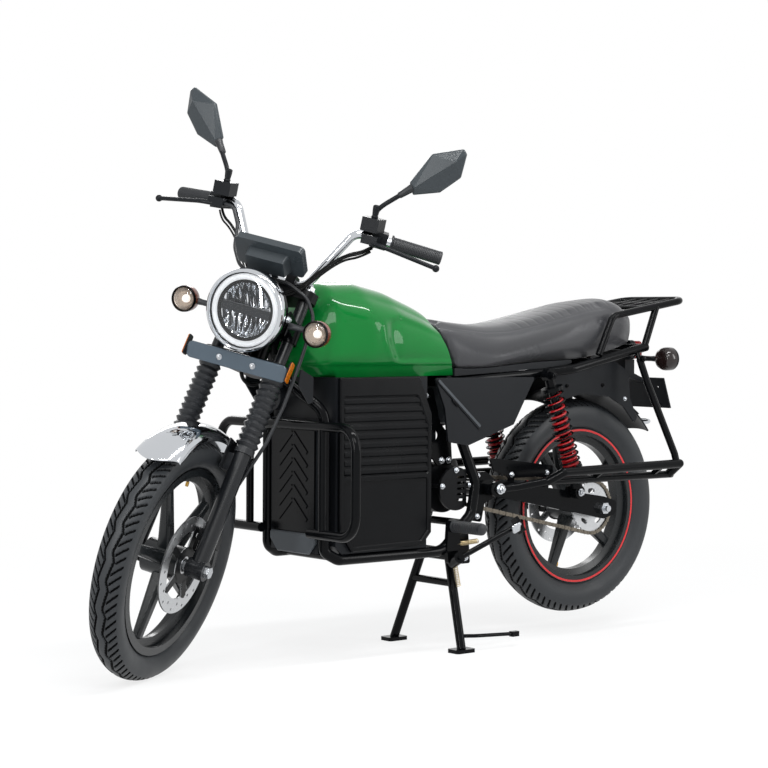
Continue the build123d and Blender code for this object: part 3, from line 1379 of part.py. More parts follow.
# Shocks: eye, damper, spring seats and eye, with the coils outside
SPRING_R = 25.0
SPRING_WIRE = 8.0
SPRING_COILS = 9
top = Vector(*SHOCK_TOP)
foot = Vector(*SHOCK_FOOT)
shock_run = top - foot
SHOCK_L = shock_run.length
shock_up = shock_run.normalized()
shock_back = shock_up.cross(Vector(0, 1, 0))
shock_section = Plane(origin=foot, x_dir=shock_back, z_dir=shock_back.cross(shock_up))
shock_axis = Axis(foot, shock_up)
SPRING_LOW = 74.0
SPRING_HIGH = SHOCK_L - 44
with BuildPart() as shocks:
    for start, length, radius in (
        (14, SPRING_LOW - 22, 17),
        (SPRING_LOW - 10, 10 - SEAT_GAP, SPRING_R + 5),
        (SPRING_LOW - 1, SPRING_HIGH - SPRING_LOW + 2, 12),
        (SPRING_HIGH + SEAT_GAP, 10, SPRING_R + 5),
        (SPRING_HIGH + 8, SHOCK_L - SPRING_HIGH - 18, 14),
    ):
        with Locations(Plane(origin=foot + shock_up * start, z_dir=shock_up)):
            Cylinder(radius, length, align=(Align.CENTER, Align.CENTER, Align.MIN))
    for eye in (SHOCK_TOP, SHOCK_FOOT):
        with Locations(Plane(origin=eye, z_dir=(0, 1, 0))):
            Cylinder(18, 22)
    for eye in (SHOCK_TOP, SHOCK_FOOT):
        with Locations(Plane(origin=eye, z_dir=(0, 1, 0))):
            Cylinder(SHOCK_PIN_D / 2 + SEAT_GAP, 60, mode=Mode.SUBTRACT)
    mirror(about=Plane.XZ)
write(shocks.part, "shocks")

with BuildPart() as shock_springs:
    coil_pitch = (SPRING_HIGH - SPRING_LOW) / SPRING_COILS
    spring = []
    for coil in range(SPRING_COILS):
        spring.append((SPRING_R - SPRING_WIRE * 0.4, SPRING_LOW + coil * coil_pitch))
        spring.append((SPRING_R + SPRING_WIRE / 2, SPRING_LOW + (coil + 0.5) * coil_pitch))
    with BuildSketch(shock_section):
        with BuildLine():
            Polyline(
                (12 + SEAT_GAP + 2, SPRING_LOW),
                *spring,
                (SPRING_R - SPRING_WIRE * 0.4, SPRING_HIGH),
                (12 + SEAT_GAP + 2, SPRING_HIGH),
                close=True,
            )
        make_face()
    revolve(axis=shock_axis)
    mirror(about=Plane.XZ)
write(shock_springs.part, "shock_springs")

# Rear caliper on the right arm
with BuildPart() as rear_caliper:
    with Locations((REAR_AXLE_X + 96, -DISC_Y, REAR_AXLE_Z + 70)):
        Box(70, 40, 44, rotation=(0, -35, 0))
    with Locations((REAR_AXLE_X + 96, -DISC_Y - DISC_T / 2 - PAD_GAP, REAR_AXLE_Z + 60)):
        body_w = ARM_Y - ARM_T / 2 - SEAT_GAP - DISC_Y - DISC_T / 2 - PAD_GAP
        Box(34, body_w, 60, align=(Align.CENTER, Align.MAX, Align.MAX))
    with BuildSketch(wheel_plane(REAR_AXLE, -DISC_Y - DISC_T / 2 - PAD_GAP)):
        Circle(REAR_DISC_R + PAD_GAP)
    extrude(amount=DISC_T + 2 * PAD_GAP, mode=Mode.SUBTRACT)
write(rear_caliper.part, "rear_caliper")

# Foot pegs
PEG_L = 112.0
with BuildPart() as footpegs:
    for side in SIDES:
        start = (PEG_X, side * (PEG_BRACKET_Y + SEAT_GAP), PEG_Z)
        add(rod(start, (PEG_X, side * (PEG_BRACKET_Y + PEG_L), PEG_Z), 28))
write(footpegs.part, "footpegs")

# Rear mudguard: crowned arc over the tyre with side webs up to the rails
MUD_IN_R = 338.0
MUD_HALF = 78.0
MUD_T = 4.0
MUD_START = 62.0
MUD_ARC = 66.0
MUD_TONGUE = 80.0
TONGUE_HALF = 56.0


def by_wheel(angle, radius):
    """(x, z) at an angle up from straight ahead and a radius about the rear axle."""
    turn = math.radians(angle)
    return (REAR_AXLE_X + radius * math.cos(turn), REAR_AXLE_Z + radius * math.sin(turn))


with BuildPart() as rear_mudguard:
    start = math.radians(MUD_START)
    section = Plane(REAR_AXLE, x_dir=(0, 1, 0), z_dir=(math.sin(start), 0, -math.cos(start)))
    mud_out = MUD_IN_R + MUD_T
    with BuildSketch(section):
        with BuildLine():
            ThreePointArc((-MUD_HALF, mud_out - 18), (0, mud_out), (MUD_HALF, mud_out - 18))
            Line((MUD_HALF, mud_out - 18), (MUD_HALF - MUD_T, MUD_IN_R - 18))
            ThreePointArc((MUD_HALF - MUD_T, MUD_IN_R - 18), (0, MUD_IN_R), (MUD_T - MUD_HALF, MUD_IN_R - 18))
            Line((MUD_T - MUD_HALF, MUD_IN_R - 18), (-MUD_HALF, mud_out - 18))
        make_face()
    revolve(axis=Axis(REAR_AXLE, (0, -1, 0)), revolution_arc=MUD_TONGUE)
    # Narrower tongue behind, which carries the loop
    turn = math.radians(MUD_START + MUD_ARC)
    with BuildSketch(Plane(REAR_AXLE, x_dir=(0, 1, 0), z_dir=(math.sin(turn), 0, -math.cos(turn)))):
        with Locations((TONGUE_HALF + 20, MUD_IN_R), (-TONGUE_HALF - 20, MUD_IN_R)):
            Rectangle(40, 60)
    revolve(axis=Axis(REAR_AXLE, (0, -1, 0)), revolution_arc=MUD_TONGUE, mode=Mode.SUBTRACT)
    web = plate(
        (
            by_wheel(64, MUD_IN_R + 30),
            (-500, 722),
            (-740, 762),
            (-806, 726),
            by_wheel(118, MUD_IN_R + 4),
            by_wheel(128, MUD_IN_R - 28),
            by_wheel(128, MUD_IN_R - 46),
            by_wheel(116, MUD_IN_R - 30),
            by_wheel(104, MUD_IN_R - 22),
            by_wheel(84, MUD_IN_R - 20),
            by_wheel(66, MUD_IN_R - 16),
        ),
        MUD_HALF,
        MUD_T,
        5,
    )
    add(web)
    add(web.mirror(Plane.XZ))
    # Bolts up to the rails' cross tube
    for side in SIDES:
        add(rod((-640, side * (MUD_HALF - 6), 700), (-640, side * (MUD_HALF - 6), 757 - 10 - SEAT_GAP), 12))
write(rear_mudguard.part, "rear_mudguard")

# Rear rack on the seat rails
RACK_BEND = (-696.0, 120.0, 884.0)
RACK_REAR = (-990.0, 118.0, 932.0)
RACK_FOOT = (-642.0, 120.0, 776.0)
rack_slope = (RACK_REAR[2] - RACK_BEND[2]) / (RACK_REAR[0] - RACK_BEND[0])
rack_left = (RACK_FOOT, RACK_BEND, RACK_REAR)
rack_right = tuple(flip(point, -1) for point in reversed(rack_left))


def rack_z(x):
    """Height of the rack's side tubes."""
    return RACK_BEND[2] + rack_slope * (x - RACK_BEND[0])


with BuildPart() as rear_rack:
    add(tube(rack_left + rack_right, RACK_TUBE, 36))
    for side in SIDES:
        add(rod((-872, side * 119, rack_z(-872)), (-824, side * 120, 800), RACK_TUBE))
    for cross_x in (-846, -918):
        add(rod((cross_x, -118, rack_z(cross_x)), (cross_x, 118, rack_z(cross_x)), RACK_BAR))
    for bar_y in (-66, -22, 22, 66):
        add(rod((-846, bar_y, rack_z(-846)), (RACK_REAR[0], bar_y, RACK_REAR[2]), RACK_BAR))
    rail_left = tube(SEAT_RAIL, RAIL_TUBE + 2 * SEAT_GAP, 90)
    add(rail_left, mode=Mode.SUBTRACT)
    add(rail_left.mirror(Plane.XZ), mode=Mode.SUBTRACT)
    with Locations((RAIL_REAR[0] + 8, 0, RAIL_REAR[2] - 2)):
        Cylinder(10 + SEAT_GAP, 240, rotation=(90, 0, 0), mode=Mode.SUBTRACT)
write(rear_rack.part, "rear_rack")

# Side rails: a lower tube from the swingarm's pivot, an outer tube, flat ties and a strut to the seat rail
LOW_RAIL_Y = 186.0
LOW_RAIL_Z = 440.0
OUT_RAIL_Y = 224.0
OUT_RAIL_Z = 470.0
OUT_RAIL_FRONT = -410.0
OUT_RAIL_REAR = -860.0
RAIL_EYE_Y = ARM_Y + ARM_T / 2 + 4
STRUT_TOP = (-790.0, 134.0, 764.0)
with BuildPart() as side_rails:
    add(
        tube(
            (
                (PIVOT_X - 10, RAIL_EYE_Y + 8, PIVOT_Z),
                (-300, 152, 426),
                (-372, LOW_RAIL_Y, LOW_RAIL_Z),
                (OUT_RAIL_REAR - 8, LOW_RAIL_Y, LOW_RAIL_Z),
            ),
            GUARD_TUBE - 4,
            40,
        )
    )
    with BuildSketch(wheel_plane(Vector(PIVOT_X, 0, PIVOT_Z), RAIL_EYE_Y - 3)):
        Circle(20)
        Circle(PIVOT_D / 2 + SEAT_GAP, mode=Mode.SUBTRACT)
    extrude(amount=8)
    rail_front = (OUT_RAIL_FRONT, OUT_RAIL_Y, OUT_RAIL_Z - 4)
    rail_rear = (OUT_RAIL_REAR, OUT_RAIL_Y, OUT_RAIL_Z + 2)
    add(rod(rail_front, rail_rear, GUARD_TUBE))
    add(rod(rail_front, (OUT_RAIL_FRONT + 26, LOW_RAIL_Y, LOW_RAIL_Z), GUARD_TUBE))
    add(rod(rail_rear, (OUT_RAIL_REAR + 4, LOW_RAIL_Y, LOW_RAIL_Z), GUARD_TUBE))
    for corner in (rail_front, rail_rear):
        with Locations(corner):
            Sphere(GUARD_TUBE / 2)
    for tie_x in (-560, -790):
        with BuildSketch(Plane(origin=(tie_x, 0, 0), x_dir=(0, 1, 0), z_dir=(1, 0, 0))):
            with BuildLine():
                Polyline(
                    (LOW_RAIL_Y - 4, LOW_RAIL_Z - 8),
                    (OUT_RAIL_Y + 4, OUT_RAIL_Z - 8),
                    (OUT_RAIL_Y + 4, OUT_RAIL_Z + 8),
                    (LOW_RAIL_Y - 4, LOW_RAIL_Z + 8),
                    close=True,
                )
            make_face()
        extrude(amount=4, both=True)
    strut = (STRUT_TOP, (-802, 152, 700), (-846, OUT_RAIL_Y - 6, 500), (-850, OUT_RAIL_Y, OUT_RAIL_Z))
    add(tube(strut, 20, (60, 30)))
    add(tube(SEAT_RAIL, RAIL_TUBE + 2 * SEAT_GAP, 90), mode=Mode.SUBTRACT)
    add(rod((STRUT_TOP[0], STRUT_TOP[1], STRUT_TOP[2] - 4), (STRUT_TOP[0], 121, 788), 14))
    add(tube(SEAT_RAIL, RAIL_TUBE + 2 * SEAT_GAP, 90), mode=Mode.SUBTRACT)
    mirror(about=Plane.XZ)
write(side_rails.part, "side_rails")

# Centre stand
FOOT_T = 10.0
STAND_CROSS = 0.3
stand_top = Vector(STAND_PIVOT_X, STAND_TOP_Y, STAND_PIVOT_Z)
stand_foot = Vector(STAND_FOOT_X, STAND_FOOT_Y, FOOT_T - 2)
brace = stand_top + (stand_foot - stand_top) * STAND_CROSS
LEVER_ROOT = stand_top + (stand_foot - stand_top) * 0.86
LEVER_TIP = (-308.0, 147.0, 34.0)
with BuildPart() as centre_stand:
    for side in SIDES:
        add(rod(flip(tuple(stand_top), side), flip(tuple(stand_foot), side), STAND_TUBE))
        with BuildSketch(Plane.XY):
            with Locations((STAND_FOOT_X, side * STAND_FOOT_Y)):
                RectangleRounded(64, 44, 8)
        extrude(amount=FOOT_T)
    pivot_left = (STAND_PIVOT_X, STAND_LEG_Y, STAND_PIVOT_Z)
    add(rod(flip(pivot_left, -1), pivot_left, STAND_TUBE + 4))
    add(rod(flip(tuple(brace), 1), flip(tuple(brace), -1), STAND_TUBE - 4))
    add(tube((tuple(LEVER_ROOT), (-170, 144, 40), LEVER_TIP), 10, 60))
    with Locations((LEVER_TIP[0] + 4, LEVER_TIP[1], LEVER_TIP[2])):
        Box(24, 14, 14)
    with BuildSketch(wheel_plane(Vector(STAND_PIVOT_X, 0, STAND_PIVOT_Z), -STAND_LEG_Y - 1)):
        Circle(STAND_BORE / 2 + PIN_GAP)
    extrude(amount=2 * STAND_LEG_Y + 2, mode=Mode.SUBTRACT)
    with Locations((0, 0, 0)):
        Box(2000, 800, 100, align=(Align.CENTER, Align.CENTER, Align.MAX), mode=Mode.SUBTRACT)
write(centre_stand.part, "centre_stand")

# Side stand, folded along the left tube
with BuildPart() as side_stand:
    pivot = Vector(*SIDE_PIVOT)
    half_eye = SIDE_AXIS * (SIDE_EYE / 2)
    add(rod(tuple(pivot - half_eye), tuple(pivot + half_eye), 2 * SIDE_EYE_R))
    add(rod(tuple(pivot + side_fold * 0.05), SIDE_TIP, SIDE_TUBE))
    with Locations(Plane(origin=SIDE_TIP, x_dir=SIDE_AXIS, z_dir=side_fold)):
        Box(30, 44, 8)
    bore_d = SIDE_PIN_D + 2 * PIN_GAP
    add(rod(tuple(pivot - half_eye * 2), tuple(pivot + half_eye * 2), bore_d), mode=Mode.SUBTRACT)
write(side_stand.part, "side_stand")

# Tail: lamp, indicators, plate holder and loop
TAIL_X = RAIL_REAR[0] + 8
TAIL_Z = RAIL_REAR[2] - 2
LAMP_BACK = 50.0
with BuildPart() as tail_lamp:
    with Locations((TAIL_X - 10 - SEAT_GAP, 0, TAIL_Z - 8)):
        Box(LAMP_BACK, 120, 56, align=(Align.MAX, Align.CENTER, Align.CENTER))
    fillet(tail_lamp.edges().filter_by(Axis.X), 12)
write(tail_lamp.part, "tail_lamp")

REAR_WINKER = (-874.0, 158.0, 764.0)
with BuildPart() as rear_indicators:
    for side in SIDES:
        with Locations(Plane(origin=flip(REAR_WINKER, side), z_dir=(-1, 0, 0))):
            Cylinder(WINKER_R, WINKER_L)
        add(rod((REAR_WINKER[0], side * (60 + SEAT_GAP), REAR_WINKER[2]), flip(REAR_WINKER, side), 16))
write(rear_indicators.part, "rear_indicators")

PLATE_TOP = (-937.0, 708.0)
PLATE_FOOT = (-967.0, 621.0)
PLATE_HALF = 92.0
PLATE_HOLE_Y = 62.0
PLATE_HOLE_D = 6.6
PLATE_NORMAL = Vector(-(PLATE_TOP[1] - PLATE_FOOT[1]), 0, PLATE_TOP[0] - PLATE_FOOT[0])
with BuildPart() as plate_holder:
    with BuildSketch(side_plane(PLATE_HALF)):
        with BuildLine():
            Polyline(
                PLATE_TOP,
                PLATE_FOOT,
                (PLATE_FOOT[0] + 4, PLATE_FOOT[1] - 1),
                (PLATE_TOP[0] + 4, PLATE_TOP[1] - 1),
                close=True,
            )
        make_face()
    extrude(amount=2 * PLATE_HALF)
    for side in SIDES:
        with Locations(Plane(origin=(-946, side * PLATE_HOLE_Y, 682), z_dir=PLATE_NORMAL)):
            Cylinder(PLATE_HOLE_D / 2, 40, mode=Mode.SUBTRACT)
    lamp_low = TAIL_Z - 8 - 28 - SEAT_GAP
    with BuildSketch(side_plane(24)):
        with BuildLine():
            arm = ((-884, 720), (-936, 700), (-940, 690), (-846, 712))
            Polyline((-846, lamp_low), (-884, lamp_low), *arm, close=True)
        make_face()
    extrude(amount=48)
write(plate_holder.part, "plate_holder")

LOOP_ANGLE = 136.0
LOOP_REACH = 50.0
LOOP_HALF = 40.0
with BuildPart() as tail_loop:
    root_x, root_z = by_wheel(LOOP_ANGLE, MUD_IN_R - 6)
    loop_x = root_x - LOOP_REACH
    loop_left = ((root_x, LOOP_HALF, root_z - 4), (loop_x, LOOP_HALF, root_z))
    loop_right = tuple(flip(point, -1) for point in reversed(loop_left))
    add(tube(loop_left + loop_right, 14, 20))
    # Feet that follow the tongue's crown
    foot_r = mud_out + SEAT_GAP
    with BuildSketch(section):
        with BuildLine():
            ThreePointArc((-MUD_HALF, foot_r - 18), (0, foot_r), (MUD_HALF, foot_r - 18))
            Polyline((MUD_HALF, foot_r - 18), (MUD_HALF, 0), (-MUD_HALF, 0), (-MUD_HALF, foot_r - 18))
        make_face()
    revolve(axis=Axis(REAR_AXLE, (0, -1, 0)), revolution_arc=MUD_TONGUE + 20, mode=Mode.SUBTRACT)
write(tail_loop.part, "tail_loop")

# Horn under the gusset, and the trim wings below the tank's nose
HORN_R = 34.0
HORN = (380.0, 0.0, 676.0)
with BuildPart() as horn:
    with Locations(Plane(origin=HORN, z_dir=(1, 0, 0))):
        Cylinder(HORN_R, 26)
    add(rod(HORN, (HORN[0], 0, 724 - SEAT_GAP), 12))
write(horn.part, "horn")

WING_Y = 114.0
with BuildPart() as tank_wings:
    add(plate(((390, 748), (350, 726), (352, 664), (364, 660), (396, 706)), WING_Y, 4, 4))
    add(rod((357, 66, 691), (357, WING_Y - 3, 691), 10))
    add(tube(CRADLE, FRAME_TUBE + 2 * SEAT_GAP, CRADLE_BENDS), mode=Mode.SUBTRACT)
    mirror(about=Plane.XZ)
write(tank_wings.part, "tank_wings")

# Front brake hose, from the right cup across the bars and down behind the left leg to the caliper
HOSE_D = 9.0
CALIPER_TOP = FRONT_AXLE + STEER_UP * (CALIPER_UP + 37 + SEAT_GAP) - STEER_AHEAD * CALIPER_BACK
HOSE = (
    (386, -192.6, 1120),
    (386, -168, 1120),
    (400, -140, 1080),
    (426, -124, 1026),
    (447, -90, 985),
    (452, -40, 978),
    (452, 50, 976),
    (446, 104, 952),
    (448, 134, 908),
    (476, 134, 806),
    (520, 132, 690),
    (560, 124, 600),
    (590, 100, 520),
    (CALIPER_TOP.X - 20.0, 56, CALIPER_TOP.Z + 40.3),
    (CALIPER_TOP.X, 56, CALIPER_TOP.Z),
)
HOSE_BENDS = (24, 40, 60, 50, 60, 60, 50, 60, 60, 60, 60, 60, 40)
brake_hose = tube(HOSE, HOSE_D, HOSE_BENDS)
write_steered(brake_hose, "brake_hose")
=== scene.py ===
"""Looks of an electric motorcycle parked on its centre stand.

Sizes are millimetres in the frame of the solids: +X ahead, +Y to the rider's left, +Z up.
Steered pieces are laid out straight ahead and then turned with the steering to its left stop.
"""

import json
import math

import bmesh
import bpy
import numpy as np
from mathutils import Matrix, Vector


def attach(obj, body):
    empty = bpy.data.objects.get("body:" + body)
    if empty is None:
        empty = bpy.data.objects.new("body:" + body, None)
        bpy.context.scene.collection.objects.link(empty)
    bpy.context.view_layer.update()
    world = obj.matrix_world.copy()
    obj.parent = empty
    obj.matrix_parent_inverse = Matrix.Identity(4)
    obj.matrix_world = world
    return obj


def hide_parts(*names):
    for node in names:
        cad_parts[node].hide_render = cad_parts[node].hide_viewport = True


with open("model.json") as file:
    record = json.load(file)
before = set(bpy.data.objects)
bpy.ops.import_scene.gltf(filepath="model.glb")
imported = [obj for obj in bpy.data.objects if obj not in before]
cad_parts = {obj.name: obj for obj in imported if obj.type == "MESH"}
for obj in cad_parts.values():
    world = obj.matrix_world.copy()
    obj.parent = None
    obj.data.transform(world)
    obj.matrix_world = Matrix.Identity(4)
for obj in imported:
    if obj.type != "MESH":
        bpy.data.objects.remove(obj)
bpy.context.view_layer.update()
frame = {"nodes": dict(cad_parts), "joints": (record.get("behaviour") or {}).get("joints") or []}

MM = 0.001
# Points nearer to each other than this are one point
SAME_PLACE = 0.002

# Joints of the solids, from which the wheels and the steered pieces take their places
joints = {joint["name"]: joint for joint in frame["joints"]}
steer_foot = Vector(joints["steering"]["pos_m"]) / MM
steer_up = Vector(joints["steering"]["axis"])
steer_lock = math.radians(joints["steering"]["range_deg"][0] / -2)
AHEAD = Matrix.Identity(4)
STEERED = (
    Matrix.Translation(steer_foot)
    @ Matrix.Rotation(steer_lock, 4, steer_up)
    @ Matrix.Translation(-steer_foot)
)
FRONT_AXLE = STEERED.inverted() @ (Vector(joints["front_wheel"]["pos_m"]) / MM)
REAR_AXLE = Vector(joints["rear_wheel"]["pos_m"]) / MM
ACROSS = Vector((0, 1, 0))
# Bodies whose pieces are laid out straight ahead and then turned with the steering
TURNED = {"steering": STEERED, "front_wheel": STEERED}
SIDES = ((1, "left"), (-1, "right"))
OTHER_SIDE = (1, -1, 1)
# Placements that stand a flat outline across the machine, or along it
ALONG_X = Matrix(((0, 0, 1, 0), (1, 0, 0, 0), (0, 1, 0, 0), (0, 0, 0, 1)))
ALONG_Y = Matrix(((1, 0, 0, 0), (0, 0, 1, 0), (0, 1, 0, 0), (0, 0, 0, 1)))


def on_side(place, side):
    """A place on the left side, or its reflection on the right."""
    return Vector((place[0], side * place[1], place[2]))


def once(side, node):
    """A solid of both sides, named on the left piece only."""
    return [node] if side > 0 else []


# Meshes

def joined(*parts):
    """Several (points, faces) parts as one."""
    points = []
    faces = []
    count = 0
    for part_points, part_faces in parts:
        points.append(np.asarray(part_points, float))
        faces += [tuple(corner + count for corner in face) for face in part_faces]
        count += len(part_points)
    return np.vstack(points), faces


def placed(part, matrix):
    """The part with its points moved by a matrix."""
    points, faces = part
    turn = np.array(matrix.to_3x3())
    shift = np.array(matrix.translation)
    return np.asarray(points, float) @ turn.T + shift, faces


def standing(origin, axis):
    """Placement whose Z runs along an axis from an origin."""
    turn = Vector(axis).to_track_quat("Z", "Y")
    return Matrix.Translation(Vector(origin)) @ turn.to_matrix().to_4x4()


def lathe(profile, steps=64, closed=False):
    """(radius, height) points turned about Z."""
    turn = np.linspace(0, 2 * math.pi, steps, endpoint=False)
    points = []
    for radius, height in profile:
        ring = np.stack([radius * np.cos(turn), radius * np.sin(turn), np.full(steps, height)], 1)
        points.append(ring)
    return np.vstack(points), grid_faces(len(profile), steps, closed, True)


def grid_faces(rows, columns, rows_closed, columns_closed):
    """Quads of a grid of points, row by row, closed on itself where asked."""
    faces = []
    for row in range(rows if rows_closed else rows - 1):
        low = row * columns
        high = (row + 1) % rows * columns
        for column in range(columns if columns_closed else columns - 1):
            beside = (column + 1) % columns
            faces.append((low + column, low + beside, high + beside, high + column))
    return faces


def sweep(path, radius, sides):
    """A round bar of one radius, or one radius for each point, along a path."""
    path = np.asarray(path, float)
    count = len(path)
    along = np.gradient(path, axis=0)
    along /= np.linalg.norm(along, axis=1)[:, None]
    radius = np.broadcast_to(radius, count)
    side = np.cross(along[0], (0.31, 0.52, 0.79))
    turn = np.linspace(0, 2 * math.pi, sides, endpoint=False)
    rings = []
    for index in range(count):
        side = side - along[index] * (side @ along[index])
        side /= np.linalg.norm(side)
        other = np.cross(along[index], side)
        ring = np.outer(np.cos(turn), side) + np.outer(np.sin(turn), other)
        rings.append(path[index] + ring * radius[index])
    faces = grid_faces(count, sides, False, True)
    faces.append(tuple(range(sides)))
    faces.append(tuple(range((count - 1) * sides, count * sides)))
    return np.vstack(rings), faces


def prism(outline, low, high):
    """A flat outline of (x, y) points raised from one height to another."""
    outline = np.asarray(outline, float)
    count = len(outline)
    points = np.vstack([np.column_stack([outline, np.full(count, h)]) for h in (low, high)])
    faces = grid_faces(2, count, False, True)
    faces.append(tuple(range(count)))
    faces.append(tuple(range(count, 2 * count)))
    return points, faces


def arc(centre, radius, start, end, steps):
    """(x, y) points of an arc between two angles in degrees."""
    turn = np.radians(np.linspace(start, end, steps))
    return np.stack([centre[0] + radius * np.cos(turn), centre[1] + radius * np.sin(turn)], 1)


def rounded(width, height, radius, steps=7):
    """(x, y) outline of a rectangle with round corners about the origin."""
    a, b = width / 2 - radius, height / 2 - radius
    corners = (((a, b), 0), ((-a, b), 90), ((-a, -b), 180), ((a, -b), 270))
    return np.vstack([arc(centre, radius, start, start + 90, steps) for centre, start in corners])


def bezier(start, pull, end, steps):
    """(x, y) points of a curve that leaves start and reaches end towards one pull point."""
    t = np.linspace(0, 1, steps)[:, None]
    start, pull, end = (np.asarray(point, float) for point in (start, pull, end))
    return (1 - t) ** 2 * start + 2 * t * (1 - t) * pull + t**2 * end


def eased(value, low, high):
    """0 below low, 1 above high and a smooth step between."""
    t = np.clip((value - low) / (high - low), 0, 1)
    return t * t * (3 - 2 * t)


def faired(table, places, passes, window):
    """The columns of a table read at places along its first column, with the corners smoothed."""
    table = np.array(sorted(map(tuple, table)), float)
    kernel = np.ones(window) / window
    columns = []
    for column in table.T[1:]:
        values = np.interp(places, table[:, 0], column)
        for _ in range(passes):
            padded = np.pad(values, window // 2, mode="reflect", reflect_type="odd")
            values = np.convolve(padded, kernel, mode="valid")
        columns.append(values)
    return np.stack(columns, 1)


def added(name, data):
    """A new object of the scene."""
    obj = bpy.data.objects.new(name, data)
    bpy.context.scene.collection.objects.link(obj)
    return obj


def piece(name, part, body, look, at=AHEAD, stands_for=(), crease=40.0, bevel=0.0):
    """A mesh in the scene that moves with a body, takes its finish and may stand for solids."""
    points, faces = placed(part, TURNED.get(body, AHEAD) @ at)
    mesh = bpy.data.meshes.new(name)
    mesh.from_pydata((points * MM).tolist(), [], faces)
    shape = bmesh.new()
    shape.from_mesh(mesh)
    bmesh.ops.remove_doubles(shape, verts=shape.verts, dist=SAME_PLACE * MM)
    bmesh.ops.recalc_face_normals(shape, faces=shape.faces)
    shape.to_mesh(mesh)
    shape.free()
    mesh.shade_smooth()
    mesh.set_sharp_from_angle(angle=math.radians(crease))
    mesh.materials.append(look)
    obj = added(name, mesh)
    if bevel:
        rounding = obj.modifiers.new("rounding", "BEVEL")
        rounding.width = bevel * MM
        rounding.segments = 2
        rounding.limit_method = "ANGLE"
    return dress(obj, body, stands_for)


def dress(obj, body, stands_for=()):
    """Puts an object on its body and the solids that it stands for."""
    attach(obj, body)
    if stands_for:
        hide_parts(*stands_for)
    return obj


# Finishes

def linear(code):
    """An sRGB hex colour as linear RGBA."""
    levels = [int(code[start:start + 2], 16) / 255 for start in (1, 3, 5)]
    return (*[v / 12.92 if v <= 0.04045 else ((v + 0.055) / 1.055) ** 2.4 for v in levels], 1.0)


def put(tree, kind, links=None, **settings):
    """Adds a node with its settings; links give each socket a value or another node's output."""
    node = tree.nodes.new("ShaderNode" + kind)
    for name, value in settings.items():
        setattr(node, name, value)
    for socket, value in (links or {}).items():
        if isinstance(value, bpy.types.NodeSocket):
            tree.links.new(value, node.inputs[socket])
        else:
            node.inputs[socket].default_value = value
    return node


def finish(name, colour, rough, grain_mm, bump_mm=0.0, tint=0.1, cloud_mm=90.0, sockets=None):
    """A finish whose colour and roughness wander softly and whose surface has a fine grain."""
    material = bpy.data.materials.new(name)
    material.use_nodes = True
    tree = material.node_tree
    shader = tree.nodes["Principled BSDF"]
    for socket, value in (sockets or {}).items():
        shader.inputs[socket].default_value = value
    where = put(tree, "TexCoord").outputs["Object"]
    cloud = put(tree, "TexNoise", {"Vector": where, "Scale": 1 / (cloud_mm * MM), "Detail": 4.0})
    grain = put(tree, "TexNoise", {"Vector": where, "Scale": 1 / (grain_mm * MM), "Detail": 2.0})
    pale = linear(colour)
    deep = (*[level * (1 - tint) for level in pale[:3]], 1.0)
    shade = put(tree, "Mix", {0: cloud.outputs["Fac"], 6: deep, 7: pale}, data_type="RGBA")
    tree.links.new(shade.outputs[2], shader.inputs["Base Color"])
    spread = {"Value": cloud.outputs["Fac"], "From Min": 0.3, "From Max": 0.7}
    gloss = put(tree, "MapRange", {**spread, "To Min": rough[0], "To Max": rough[1]})
    tree.links.new(gloss.outputs[0], shader.inputs["Roughness"])
    if bump_mm:
        relief = {"Height": grain.outputs["Fac"], "Distance": bump_mm * MM, "Strength": 0.6}
        tree.links.new(put(tree, "Bump", relief).outputs[0], shader.inputs["Normal"])
    return material


METAL = {"Metallic": 1.0}
LACQUER = {
    "Coat Weight": 1.0, "Coat Roughness": 0.03, "Coat IOR": 1.25, "Specular IOR Level": 0.06
}
MUTED = {"Specular IOR Level": 0.12}
GLOSSY = {"Specular IOR Level": 0.1}
SHINY = {"Specular IOR Level": 0.35}

# Two-coat lacquer sprayed on pressed steel: deep green under a clear gloss with faint orange peel
green_lacquer = finish("green_lacquer", "#076e2c", (0.3, 0.38), 6.0, 0.02, 0.06, 200, LACQUER)
# Stove enamel on drawn steel tube: near black, wet highlights along each tube
black_enamel = finish("black_enamel", "#08090b", (0.12, 0.2), 5.0, 0.02, 0.15, 120, GLOSSY)
# Electroplated chrome on polished steel: a mirror with a slight haze
chrome_plate = finish("chrome_plate", "#c6c9cd", (0.04, 0.1), 4.0, 0.0, 0.04, 60, METAL)
# Powder coat on sand cast aluminium: satin black with a fine pebbled skin
cast_black = finish("cast_black", "#0e0f11", (0.3, 0.4), 1.6, 0.04, 0.15, 60, MUTED)
# Baked paint on cast wheels: slate black with a soft gloss
wheel_paint = finish("wheel_paint", "#1a1d1f", (0.22, 0.3), 2.5, 0.02, 0.12, 80, SHINY)
# Moulded polycarbonate of the battery covers: black, each rib catching a thin light
shell_abs = finish("shell_abs", "#0a0b0d", (0.2, 0.28), 1.4, 0.02, 0.12, 80, MUTED)
# Wet paint on turned alloy fork legs: even satin black
fork_black = finish("fork_black", "#15171a", (0.24, 0.32), 2.5, 0.02, 0.12, 80, SHINY)
# Vulcanised rubber of the tyres: dark grey, dull with a dry bloom
tyre_rubber = finish("tyre_rubber", "#2a2d30", (0.38, 0.52), 2.2, 0.06, 0.2, 70, SHINY)
# Dipped enamel on the pressed plate bar: slate blue, wet gloss
steel_enamel = finish("steel_enamel", "#45525d", (0.08, 0.14), 6.0, 0.01, 0.12, 80)
# Rubber down in the tread grooves, painted darker for dirt and for the shade that falls in the
# grooves: black, with no shine left
groove_dirt_and_shade = finish("groove_dirt_and_shade", "#0a0b0c", (0.7, 0.8), 2.2, 0.04, 0.2, 70, MUTED)
# Moulded rubber of gaiters, grips and pegs: black and dull
moulded_rubber = finish("moulded_rubber", "#222427", (0.34, 0.46), 1.8, 0.05, 0.18, 40, SHINY)
